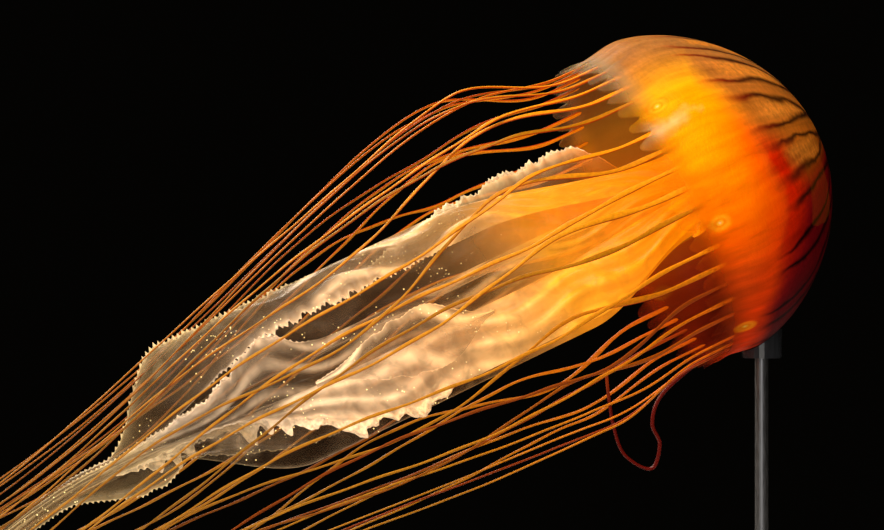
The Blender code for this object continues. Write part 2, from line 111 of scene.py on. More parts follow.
def plug(tree: bpy.types.NodeTree, target: bpy.types.NodeSocket, value: NodeInput) -> None:
    """Fills an input.

    Args:
        tree: Node tree that holds the input.
        target: The input.
        value: A plain value, a socket to link, or a node, whose first output in use is linked.
    """
    if isinstance(value, bpy.types.Node):
        value = next(output for output in value.outputs if output.enabled)
    if isinstance(value, bpy.types.NodeSocket):
        tree.links.new(value, target)
    else:
        target.default_value = value


def add_node(tree: bpy.types.NodeTree, kind: str,
             links: Optional[dict[Union[int, str], NodeInput]] = None,
             stops: Optional[list[tuple[float, str]]] = None,
             **settings: object) -> bpy.types.Node:
    """Adds one shader node with its settings and links.

    Args:
        tree: Node tree that receives the node.
        kind: Blender's type name of the node.
        links: Input name or number to what goes into it.
        stops: Places and sRGB hex colours for a colour ramp.
        settings: Plain properties of the node.

    Returns:
        The new node.
    """
    node = tree.nodes.new(kind)
    for name, value in settings.items():
        setattr(node, name, value)
    if stops:
        ramp = node.color_ramp
        while len(ramp.elements) < len(stops):
            ramp.elements.new(1.0)
        for element, (place, code) in zip(ramp.elements, stops):
            element.position = place
            element.color = linear(code)
    for name, value in (links or {}).items():
        plug(tree, node.inputs[name], value)
    return node


def mask(tree: bpy.types.NodeTree,
         *steps: tuple[NodeInput, NodeInput, NodeInput]) -> bpy.types.Node:
    """Multiplies smooth steps into one mask.

    Args:
        tree: Node tree that receives the nodes.
        steps: For each step, what it reads, where it is 0 and where it is 1.

    Returns:
        A node that is 1 where every step is.
    """
    parts = [add_node(tree, RANGE, {0: source, 1: empty, 2: full}, **SMOOTH)
             for source, empty, full in steps]
    product = parts[0]
    for part in parts[1:]:
        product = add_node(tree, MATH, {0: product, 1: part}, operation="MULTIPLY")
    return product


def ease(value: Union[float, Array]) -> Array:
    """Rises smoothly from 0 to 1 as the value goes from 0 to 1."""
    value = np.clip(value, 0.0, 1.0)
    return value * value * (3.0 - 2.0 * value)


def along_knots(knots: tuple[tuple[float, float], ...], place: Array) -> Array:
    """Reads a smooth curve through a few knots.

    Args:
        knots: Pairs of place and value in rising order of place.
        place: Places to read.

    Returns:
        The values there.
    """
    result = np.full_like(place, knots[0][1], dtype=float)
    for (start, low), (end, high) in zip(knots, knots[1:]):
        result = result + (high - low) * ease((place - start) / (end - start))
    return result


def wave(place: Array, length: float, phase: Union[float, Array] = 0.0) -> Array:
    """A sine wave of the given length, shifted by a phase in radians."""
    return np.sin(2.0 * math.pi * place / length + phase)


def share(index: int, salt: int) -> float:
    """An even spread of values from 0 to 1 that looks unordered."""
    return (index * 0.6180339887 + salt * 0.3719) % 1.0


def polar(radius: Array, degrees: Array) -> tuple[Array, Array]:
    """Turns a radius and an angle in degrees into x and y."""
    turn = np.radians(degrees)
    return radius * np.cos(turn), radius * np.sin(turn)


def through(knots: Array, place: float) -> Array:
    """Reads a Catmull-Rom curve.

    Args:
        knots: The points that the curve passes through.
        place: 0 at the first point, 1 at the second and so on.

    Returns:
        The point there.
    """
    span = min(int(place), len(knots) - 2)
    t = place - span
    before, start = knots[max(span - 1, 0)], knots[span]
    end, after = knots[span + 1], knots[min(span + 2, len(knots) - 1)]
    bend = 2.0 * start + (end - before) * t
    bend = bend + (2.0 * before - 5.0 * start + 4.0 * end - after) * t * t
    bend = bend + (3.0 * start - before - 3.0 * end + after) * t ** 3
    return 0.5 * bend


@dataclass
class Sheet:
    """A grid of points with values on them, to become part of a mesh.

    Attributes:
        points: Array of rows, columns and three coordinates.
        values: Name to an array of rows and columns, kept on the mesh for its finish.
        closed: Whether the last column joins the first.
        slot: Number of the mesh's finish that the sheet wears.
    """

    points: Array
    values: dict[str, Array] = field(default_factory=dict)
    closed: bool = False
    slot: int = 0


def mesh_of(name: str, sheets: list[Sheet]) -> bpy.types.Mesh:
    """Joins sheets of points into one smooth mesh.

    Args:
        name: Name of the mesh.
        sheets: The grids to join.

    Returns:
        The mesh, with every named value as an attribute on its points.
    """
    points, faces, slots = [], [], []
    values: dict[str, list[Array]] = {key: [] for sheet in sheets for key in sheet.values}
    start = 0
    for sheet in sheets:
        rows, columns = sheet.points.shape[:2]
        numbers = start + np.arange(rows * columns).reshape(rows, columns)
        if sheet.closed:
            numbers = np.concatenate([numbers, numbers[:, :1]], axis=1)
        quads = np.stack([numbers[:-1, :-1], numbers[:-1, 1:], numbers[1:, 1:],
                          numbers[1:, :-1]], axis=-1).reshape(-1, 4)
        points.append(sheet.points.reshape(-1, 3))
        faces.append(quads)
        slots.append(np.full(len(quads), sheet.slot))
        for key, store in values.items():
            store.append(np.ravel(sheet.values.get(key, np.zeros((rows, columns)))))
        start += rows * columns
    mesh = bpy.data.meshes.new(name)
    mesh.from_pydata(np.concatenate(points), [], np.concatenate(faces).tolist())
    for key, store in values.items():
        mesh.attributes.new(key, "FLOAT", "POINT").data.foreach_set(
            "value", np.concatenate(store).astype(np.float32))
    mesh.polygons.foreach_set("material_index", np.concatenate(slots).astype(np.int32))
    mesh.shade_smooth()
    mesh.update()
    return mesh


def skin(name: str, mesh: bpy.types.Mesh, finishes: list["Finish"],
         nodes: list[str], place: Matrix) -> bpy.types.Object:
    """Sets a mesh in place of its solids.

    Args:
        name: Name of the piece.
        mesh: Its mesh, in the bell's frame.
        finishes: The finishes that its faces wear, in order.
        nodes: Solids that the piece stands for.
        place: Where the bell's frame lies.

    Returns:
        The new object.
    """
    spots = np.empty(3 * len(mesh.vertices), dtype=np.float32)
    mesh.vertices.foreach_get("co", spots)
    mesh.attributes.new("bell_place", "FLOAT_VECTOR", "POINT").data.foreach_set("vector", spots)
    mesh.transform(place)
    thing = bpy.data.objects.new(name, mesh)
    bpy.context.scene.collection.objects.link(thing)
    for finish in finishes:
        mesh.materials.append(finish.material())
    bpy.context.view_layer.update()
    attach(thing, "root")
    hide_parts(*nodes)
    LOG.info("%s: %d faces, stands for %d solids", name, len(mesh.polygons), len(nodes))
    return thing


# ------------------------------------------------------------------ placing
@dataclass(frozen=True)
class BellFrame:
    """Where the bell's own frame lies, in metres and degrees."""

    centre: tuple[float, float, float] = (0.040, 0.0, 0.372)
    climb: float = 25.0
    heading: float = 11.1
    roll: float = 175.3

    def matrix(self) -> Matrix:
        """The matrix that carries the bell's frame into the world."""
        turn = Euler((0.0, 0.0, math.radians(self.heading))).to_matrix().to_4x4()
        turn = turn @ Euler((0.0, math.radians(90.0 - self.climb), 0.0)).to_matrix().to_4x4()
        turn = turn @ Euler((0.0, 0.0, math.radians(self.roll))).to_matrix().to_4x4()
        return Matrix.Translation(Vector(self.centre)) @ turn


@dataclass(frozen=True)
class Stream:
    """The flow that arms and tentacles trail in, behind the margin's plane."""

    drift_back: float = 0.16
    swell: tuple[float, float, float] = (0.004, 0.09, 0.06)
    sag: tuple[float, float, float] = (0.034, 0.10, 0.36)
    end_radius: float = 0.038
    narrowing: tuple[float, float] = (0.059, 0.34)
    flare: tuple[float, float] = (0.019, 0.10)

    def point(self, x: Array, y: Array, distance: Array) -> Array:
        """Points beside the stream's axis, which curves back from the near side."""
        return np.stack(np.broadcast_arrays(x, y - self.drift_back * distance ** 2, -distance),
                        axis=-1)

    def rise(self, distance: Array) -> Array:
        """How far the middle of the tentacles lies above the swimming axis.

        Args:
            distance: Distances behind the margin.

        Returns:
            Heights in metres.
        """
        height, at, spread = self.swell
        drop, start, length = self.sag
        bump = height * np.exp(-((distance - at) / spread) ** 2) * ease(distance / at)
        return bump - drop * ease((distance - start) / length)

    def radius(self, distance: Array) -> Array:
        """Radius of the tube of tentacles.

        Args:
            distance: Distances behind the margin.

        Returns:
            Radii in metres.
        """
        along = distance / self.flare[1]
        narrowing = self.narrowing[0] * np.exp(-(distance / self.narrowing[1]) ** 2)
        return self.end_radius + narrowing + self.flare[0] * along * np.exp(1.0 - along)


# ------------------------------------------------------------------ finishes
@dataclass(frozen=True)
class Finish:
    """A surface finish, made once as a material of shader nodes.

    Attributes:
        name: Name of its material.
        sockets: What is the same all over the surface, by the shader's input names.
    """

    name: str = "finish"
    sockets: Sockets = ()

    def material(self) -> bpy.types.Material:
        """Makes the material, or returns the one already made."""
        made = bpy.data.materials.get(self.name)
        if made is None:
            made = bpy.data.materials.new(self.name)
            made.use_nodes = True
            shader = made.node_tree.nodes["Principled BSDF"]
            for name, value in (*self.sockets, *self.pattern(made.node_tree).items()):
                plug(made.node_tree, shader.inputs[name], value)
        return made

    def pattern(self, tree: bpy.types.NodeTree) -> dict[str, NodeInput]:
        """Adds the finish's own nodes.

        Args:
            tree: Node tree that receives them.

        Returns:
            The shader's input names to what goes into them.
        """
        raise NotImplementedError


@dataclass(frozen=True)
class BellMap:
    """Where a point of the bell lies, as nodes for its finish to read.

    Attributes:
        tree: The finish's node tree.
        place: The point in the bell's frame.
        height: Its height above the margin's plane.
        radius: Its distance from the swimming axis.
        angle: Its angle around that axis in radians, 0 at the top flank.
        upward: 1 at the top flank, -1 at the lowest one.
        around: The same from 1 to 0.
        cloud: Broad soft noise.
        wander: The same, centred on 0.
    """

    tree: bpy.types.NodeTree
    place: bpy.types.NodeSocket
    height: bpy.types.NodeSocket
    radius: bpy.types.Node
    angle: bpy.types.Node
    upward: bpy.types.Node
    around: bpy.types.Node
    cloud: bpy.types.Node
    wander: bpy.types.Node

    @classmethod
    def of(cls, tree: bpy.types.NodeTree) -> "BellMap":
        """Adds the nodes that read a point's place.

        Args:
            tree: The finish's node tree.

        Returns:
            The map.
        """
        place = add_node(tree, STORED, attribute_name="bell_place").outputs["Vector"]
        x, y, height = add_node(tree, SPLIT, {0: place}).outputs
        radius = add_node(tree, VECTOR, {0: add_node(tree, JOIN, {0: x, 1: y})}, operation="LENGTH")
        angle = add_node(tree, MATH, {0: y, 1: x}, operation="ARCTAN2")
        upward = add_node(tree, MATH, {0: x, 1: radius}, operation="DIVIDE")
        around = add_node(tree, RANGE, {0: upward, 1: -1.0, 2: 1.0})
        cloud = add_node(tree, NOISE, {"Vector": place, "Scale": 38.0, "Detail": 3.0})
        wander = add_node(tree, MATH, {0: cloud, 1: 0.5}, operation="SUBTRACT")
        return cls(tree, place, height, radius, angle, upward, around, cloud, wander)

    def aside(self, angle: NodeInput, middle: float, every: float) -> bpy.types.Node:
        """How far a point lies to the side of the nearest of some evenly spaced radial lines.

        Args:
            angle: Angle of the point in radians.
            middle: Angle of one of the lines.
            every: Angle between two lines.

        Returns:
            The distance around the bell.
        """
        turn = add_node(self.tree, MATH, {0: angle, 1: middle + 0.5 * every,
                                          2: middle - 0.5 * every}, operation="WRAP")
        turn = add_node(self.tree, MATH, {0: turn, 1: middle}, operation="SUBTRACT")
        turn = add_node(self.tree, MATH, {0: turn}, operation="ABSOLUTE")
        return add_node(self.tree, MATH, {0: turn, 1: self.radius}, operation="MULTIPLY")

    def apart(self, across: NodeInput, along: NodeInput) -> bpy.types.Node:
        """Length of a pair of distances."""
        pair = add_node(self.tree, JOIN, {0: across, 1: along})
        return add_node(self.tree, VECTOR, {0: pair}, operation="LENGTH")


@dataclass(frozen=True)
class BellJelly(Finish):
    """Clear jelly over pigmented skin, moulded by growth: a wet sheen, deep colour with a painted
    glow on the thin flank and painted shade that darkens and reddens it towards the lowest flank, and
    dark radial strip edges on the crown."""

    name: str = "bell_jelly_wet"
    sockets: Sockets = (
        ("Roughness", 0.40), ("IOR", 1.36), ("Specular IOR Level", 0.02),
        ("Subsurface Weight", 0.25), ("Subsurface Radius", (1.0, 0.35, 0.10)),
        ("Subsurface Scale", 6.0 * MM))
    first_organ: float = 12.5
    octants: int = 8
    strip_half_width: float = 6.0 * MM
    line_half_width: float = 1.9 * MM
    line_wander: float = 3.0 * MM
    line_twist: float = 3.5
    glow_height: float = 0.053
    glow_drop: float = 0.037
    glow_top_drop: float = 0.013
    wrinkle_pitch: float = 1.6 * MM
    organ_height: float = 0.009
    organ_squash: float = 0.72
    fold_highlight_angle: float = 66.0
    fold_highlight_height: float = 1.0 * MM
    fold_highlight_size: tuple[float, float] = (9.0 * MM, 30.0 * MM)

    @property
    def start(self) -> float:
        """Angle of the first sense organ in radians."""
        return math.radians(self.first_organ)

    @property
    def sector(self) -> float:
        """Angle between two of the sixteen strips in radians."""
        return math.pi / self.octants

    def pattern(self, tree: bpy.types.NodeTree) -> dict[str, NodeInput]:
        """Colours the bell by its angle and height, with painted light and shade by side, and gives
        its flank a painted glow.

        Args:
            tree: Node tree that receives the nodes.

        Returns:
            The shader's input names to what goes into them.
        """
        at = BellMap.of(tree)
        above = self.above_glow(at)
        top_flank = add_node(tree, RANGE, {0: at.upward, 1: 0.50, 2: 0.88}, **SMOOTH)
        crown = add_node(tree, RANGE, {0: above, 1: -0.011, 2: 0.011}, **SMOOTH)
        crown = add_node(tree, MATH, {0: crown, 1: top_flank}, operation="MAXIMUM")
        stretched = add_node(tree, "ShaderNodeMapping", {0: at.place, "Scale": (1.0, 1.0, 2.2)})
        wrinkle = add_node(tree, NOISE, {"Vector": stretched, "Detail": 3.0, "Roughness": 0.6,
                                         "Scale": 1.0 / self.wrinkle_pitch / 3.0})
        twist = add_node(tree, RANGE, {0: at.height, 1: 0.02, 2: 0.06, 3: 0.0,
                                       4: math.radians(self.line_twist)}, **SMOOTH)
        turned = add_node(tree, MATH, {0: at.angle, 1: twist}, operation="SUBTRACT")

        colour = self.ground(at, above, crown)
        colour = self.panel_highlights(at, above, turned, wrinkle, colour)
        colour = self.lines(at, above, turned, colour)
        # painted highlight: a creamy fold on the near flank
        colour = self.fold(at, colour)
        colour = self.organs(at, top_flank, colour)
        colour = self.grain(at, crown, wrinkle, colour)
        pale_rim = add_node(tree, RANGE, {0: at.height, 1: 0.013, 2: -0.008}, **SMOOTH)
        inner = add_node(tree, STORED, attribute_name="inner").outputs["Fac"]
        colour = self.rim_and_lining(at, pale_rim, inner, colour)

        # painted glow: emission lights the flank as if light came through the jelly, more on the top
        # side and less on the lining; the crown keeps only a trace
        painted_glow = add_node(tree, RANGE, {0: crown, 3: 0.48, 4: 0.13})
        painted_glow_side = add_node(tree, RANGE, {0: at.upward, 1: -0.9, 2: 0.2, 3: 0.25, 4: 1.0})
        outside = add_node(tree, RANGE, {0: inner, 3: 1.0, 4: 0.55})
        for factor in (painted_glow_side, outside):
            painted_glow = add_node(tree, MATH, {0: painted_glow, 1: factor}, operation="MULTIPLY")
        clear = add_node(tree, RANGE, {0: pale_rim, 3: 0.97, 4: 0.12})
        bump = add_node(tree, "ShaderNodeBump", {"Height": wrinkle, "Strength": 0.5,
                                                 "Distance": 0.6 * MM})
        return {"Base Color": colour, "Emission Color": colour, "Emission Strength": painted_glow,
                "Alpha": clear, "Normal": bump}

    def above_glow(self, at: BellMap) -> bpy.types.Node:
        """Height above the wavy upper edge of the flank's painted glow.

        Args:
            at: Where a point lies.

        Returns:
            The height in metres.
        """
        edge = add_node(at.tree, MATH, {0: at.wander, 1: 0.016, 2: self.glow_height},
                        operation="MULTIPLY_ADD")
        for empty, full, drop in ((-0.32, -0.98, self.glow_drop), (0.10, 0.70, self.glow_top_drop)):
            lowered = add_node(at.tree, RANGE, {0: at.upward, 1: empty, 2: full, 3: 0.0, 4: drop},
                               **SMOOTH)
            edge = add_node(at.tree, MATH, {0: edge, 1: lowered}, operation="SUBTRACT")
        return add_node(at.tree, MATH, {0: at.height, 1: edge}, operation="SUBTRACT")

    def ground(self, at: BellMap, above: NodeInput, crown: NodeInput) -> bpy.types.Node:
        """The flank with its painted glow, the crown, and the red between them on the near side, all
        painted darker and redder towards the lowest flank as painted shade.

        Args:
            at: Where a point lies.
            above: Its height above the glowing flank.
            crown: How far it belongs to the crown.

        Returns:
            The colour.
        """
        # painted light and shade: the flank runs from bright yellow on the top side to dark red on
        # the lowest
        flank_light_and_shade = add_node(at.tree, RAMP, {0: at.around}, stops=[
            (0.0, "#8A2A08"), (0.10, "#A83408"), (0.22, "#D04208"), (0.33, "#F05A00"),
            (0.43, "#FB7400"), (0.55, "#FC8400"), (0.70, "#FA9600"), (0.86, "#FCA404")])
        # painted shade: the top of the glowing band turns red towards the lower flank
        red_shade = add_node(at.tree, RANGE, {0: above, 1: -0.030, 2: -0.002, 3: 0.0, 4: 0.75}, **SMOOTH)
        red_shade_side = add_node(at.tree, RANGE, {0: at.upward, 1: 0.5, 2: 0.1}, **SMOOTH)
        red_shade = add_node(at.tree, MATH, {0: red_shade, 1: red_shade_side}, operation="MULTIPLY")
        flank_light_and_shade = add_node(at.tree, MIX, {"Factor": red_shade, 6: flank_light_and_shade, 7: linear("#F03C00")}, **COLOURS)
        # painted shade: the crown's tan turns maroon towards the lowest flank
        crown_and_shade = add_node(at.tree, RAMP, {0: at.around}, stops=[
            (0.0, "#4E040C"), (0.12, "#68060F"), (0.24, "#800812"), (0.33, "#920C10"),
            (0.37, "#A4340A"), (0.42, "#C25C12"), (0.60, "#C86C1C"), (0.78, "#C06C24"),
            (0.95, "#A86A32")])
        colour = add_node(at.tree, MIX, {"Factor": crown, 6: flank_light_and_shade, 7: crown_and_shade}, **COLOURS)
        # painted shade: a red band along the glow's edge, on the flank below its middle
        red_shade_band = mask(at.tree, (above, 0.024, 0.004), (above, -0.006, 0.002),
                     (at.upward, 0.26, -0.05), (at.upward, -0.85, -0.30))
        return add_node(at.tree, MIX, {"Factor": red_shade_band, 6: colour, 7: linear("#DC2200")}, **COLOURS)

    def panel_highlights(self, at: BellMap, above: NodeInput, turned: NodeInput, wrinkle: NodeInput,
               colour: NodeInput) -> bpy.types.Node:
        """Lays pale ridged patches in the panels, a painted highlight on their wrinkles, over a
        colour.

        Args:
            at: Where a point lies.
            above: Its height above the glowing flank.
            turned: Its angle, turned with the strips.
            wrinkle: Fine wrinkles.
            colour: The colour underneath.

        Returns:
            The new colour.
        """
        panel = at.aside(turned, self.start + 0.5 * self.sector, self.sector)
        # painted highlight: pale patches in the panels' middles, above the glow and off the lower
        # flank
        lens = mask(at.tree, (panel, 0.0095, 0.003), (above, 0.006, 0.020),
                    (at.height, 0.100, 0.088), (at.upward, -0.42, -0.20))
        ridges = add_node(at.tree, RANGE, {0: wrinkle, 1: 0.36, 2: 0.64})
        ridges = add_node(at.tree, MATH, {0: ridges, 1: 0.40, 2: 0.48}, operation="MULTIPLY_ADD")
        lens = add_node(at.tree, MATH, {0: lens, 1: ridges}, operation="MULTIPLY")
        return add_node(at.tree, MIX, {"Factor": lens, 6: colour, 7: linear("#F08C2C")}, **COLOURS)

    def lines(self, at: BellMap, above: NodeInput, turned: NodeInput,
              colour: NodeInput) -> bpy.types.Node:
        """Lays the pairs of dark lines that border the sixteen narrow strips over a colour.

        Args:
            at: Where a point lies.
            above: Its height above the glowing flank.
            turned: Its angle, turned with the strips.
            colour: The colour underneath.

        Returns:
            The new colour.
        """
        strip = at.aside(turned, self.start, self.sector)
        widest = add_node(at.tree, MATH, {0: at.radius, 1: 0.42 * self.sector},
                          operation="MULTIPLY")
        border = add_node(at.tree, MATH, {0: widest, 1: self.strip_half_width},
                          operation="MINIMUM")
        border = add_node(at.tree, MATH, {0: at.wander, 1: 4.0 * self.line_wander, 2: border},
                          operation="MULTIPLY_ADD")
        off_line = add_node(at.tree, MATH, {0: strip, 1: border}, operation="SUBTRACT")
        off_line = add_node(at.tree, MATH, {0: off_line}, operation="ABSOLUTE")
        blot = add_node(at.tree, RANGE, {0: at.cloud, 1: 0.40, 2: 0.62,
                                         3: 1.2 * self.line_half_width,
                                         4: 2.6 * self.line_half_width})
        line = mask(at.tree, (off_line, blot, 0.0), (above, -0.010, 0.012))
        tint = add_node(at.tree, RAMP, {0: add_node(at.tree, RANGE, {0: above, 1: -0.008, 2: 0.030})},
                        stops=[(0.0, "#C83406"), (0.35, "#8A2008"), (0.8, "#4A200A"),
                               (1.0, "#3C1C0A")])
        # painted shade: the lines turn nearly black towards the lowest flank
        under = add_node(at.tree, RANGE, {0: at.upward, 1: -0.15, 2: -0.45})
        tint = add_node(at.tree, MIX, {"Factor": under, 6: tint, 7: linear("#140204")}, **COLOURS)
        return add_node(at.tree, MIX, {"Factor": line, 6: colour, 7: tint}, **COLOURS)

    def fold(self, at: BellMap, colour: NodeInput) -> bpy.types.Node:
        """Lays a painted highlight, shaped as a creamy fold of the near flank, over a colour.

        Args:
            at: Where a point lies.
            colour: The colour underneath.

        Returns:
            The new colour.
        """
        across = add_node(at.tree, MATH, {0: at.angle, 1: math.radians(self.fold_highlight_angle)},
                          operation="SUBTRACT")
        along = add_node(at.tree, MATH, {0: at.height, 1: self.fold_highlight_height}, operation="SUBTRACT")
        for factor in (at.radius, 1.0 / self.fold_highlight_size[0]):
            across = add_node(at.tree, MATH, {0: across, 1: factor}, operation="MULTIPLY")
        along = add_node(at.tree, MATH, {0: along, 1: 1.0 / self.fold_highlight_size[1]},
                         operation="MULTIPLY")
        fold = add_node(at.tree, MATH, {0: at.wander, 1: 2.4, 2: at.apart(across, along)},
                        operation="MULTIPLY_ADD")
        fold = add_node(at.tree, RANGE, {0: fold, 1: 1.15, 2: 0.05, 3: 0.0, 4: 0.70}, **SMOOTH)
        # painted highlight in cream
        return add_node(at.tree, MIX, {"Factor": fold, 6: colour, 7: linear("#FFE2A8")}, **COLOURS)

    def organs(self, at: BellMap, top_flank: NodeInput, colour: NodeInput) -> bpy.types.Node:
        """Lays the ringed sense organs, which sit in eight of the clefts, over a colour.

        Args:
            at: Where a point lies.
            top_flank: How far it belongs to the top flank, where the organs fade.
            colour: The colour underneath.

        Returns:
            The new colour.
        """
        up = add_node(at.tree, MATH, {0: at.height, 1: self.organ_height}, operation="SUBTRACT")
        up = add_node(at.tree, MATH, {0: up, 1: self.organ_squash}, operation="MULTIPLY")
        organ = at.apart(at.aside(at.angle, self.start, 2.0 * self.sector), up)
        rings = add_node(at.tree, RAMP, {0: add_node(at.tree, RANGE, {0: organ, 2: 0.005})}, stops=[
            (0.0, "#FFF0A0"), (0.18, "#FFC830"), (0.38, "#F48A00"), (0.62, "#FFA618"),
            (1.0, "#F88200")])
        off_top = add_node(at.tree, RANGE, {0: top_flank, 3: 0.6, 4: 0.0})
        shown = add_node(at.tree, RANGE, {0: organ, 1: 0.0060, 2: 0.0042}, **SMOOTH)
        shown = add_node(at.tree, MATH, {0: shown, 1: off_top}, operation="MULTIPLY")
        return add_node(at.tree, MIX, {"Factor": shown, 6: colour, 7: rings}, **COLOURS)

    def grain(self, at: BellMap, crown: NodeInput, wrinkle: NodeInput,
              colour: NodeInput) -> bpy.types.Node:
        """Shades a colour by soft streaks down the flank and the fine grain of the crown.

        Args:
            at: Where a point lies.
            crown: How far it belongs to the crown.
            wrinkle: Fine wrinkles.
            colour: The colour to shade.

        Returns:
            The shaded colour.
        """
        flow = add_node(at.tree, JOIN, {
            0: add_node(at.tree, MATH, {0: at.angle, 1: 5.0}, operation="MULTIPLY"),
            1: add_node(at.tree, MATH, {0: at.height, 1: 9.0}, operation="MULTIPLY")})
        streak = add_node(at.tree, NOISE, {"Vector": flow, "Scale": 2.6, "Detail": 4.0,
                                           "Roughness": 0.55})
        streak = add_node(at.tree, RANGE, {0: streak, 1: 0.3, 2: 0.7, 3: 0.70, 4: 1.18})
        fine = add_node(at.tree, RANGE, {0: wrinkle, 1: 0.34, 2: 0.66, 3: 0.89, 4: 1.10})
        fine = add_node(at.tree, MIX, {"Factor": crown, 2: 1.0, 3: fine}, data_type="FLOAT")
        shade = add_node(at.tree, MATH, {0: streak, 1: fine}, operation="MULTIPLY")
        return add_node(at.tree, VECTOR, {0: colour, "Scale": shade}, operation="SCALE")

    def rim_and_lining(self, at: BellMap, pale_rim: NodeInput, inner: NodeInput,
                       colour: NodeInput) -> bpy.types.Node:
        """Lays the clear rim of the top flank and the bell's lining over a colour, with the lining
        painted darker towards the lowest flank as painted shade.

        Args:
            at: Where a point lies.
            pale_rim: How far it belongs to the rim.
            inner: 1 on the inside of the bell.
            colour: The colour underneath.

        Returns:
            The new colour.
        """
        rim_side = add_node(at.tree, RANGE, {0: at.upward, 1: 0.55, 2: 0.95})
        rim = add_node(at.tree, MATH, {0: pale_rim, 1: rim_side}, operation="MULTIPLY")
        colour = add_node(at.tree, MIX, {"Factor": rim, 6: colour, 7: linear("#CDB690")}, **COLOURS)
        lining = add_node(at.tree, MATH, {0: inner, 1: 0.9}, operation="MULTIPLY")
        # painted shade: the lining darkens towards the lowest flank
        hollow = add_node(at.tree, RAMP, {0: at.around}, stops=[
            (0.0, "#34100A"), (0.25, "#6A2408"), (0.5, "#B4600C"), (0.8, "#8C6620"),
            (1.0, "#6E5A34")])
        return add_node(at.tree, MIX, {"Factor": lining, 6: colour, 7: hollow}, **COLOURS)


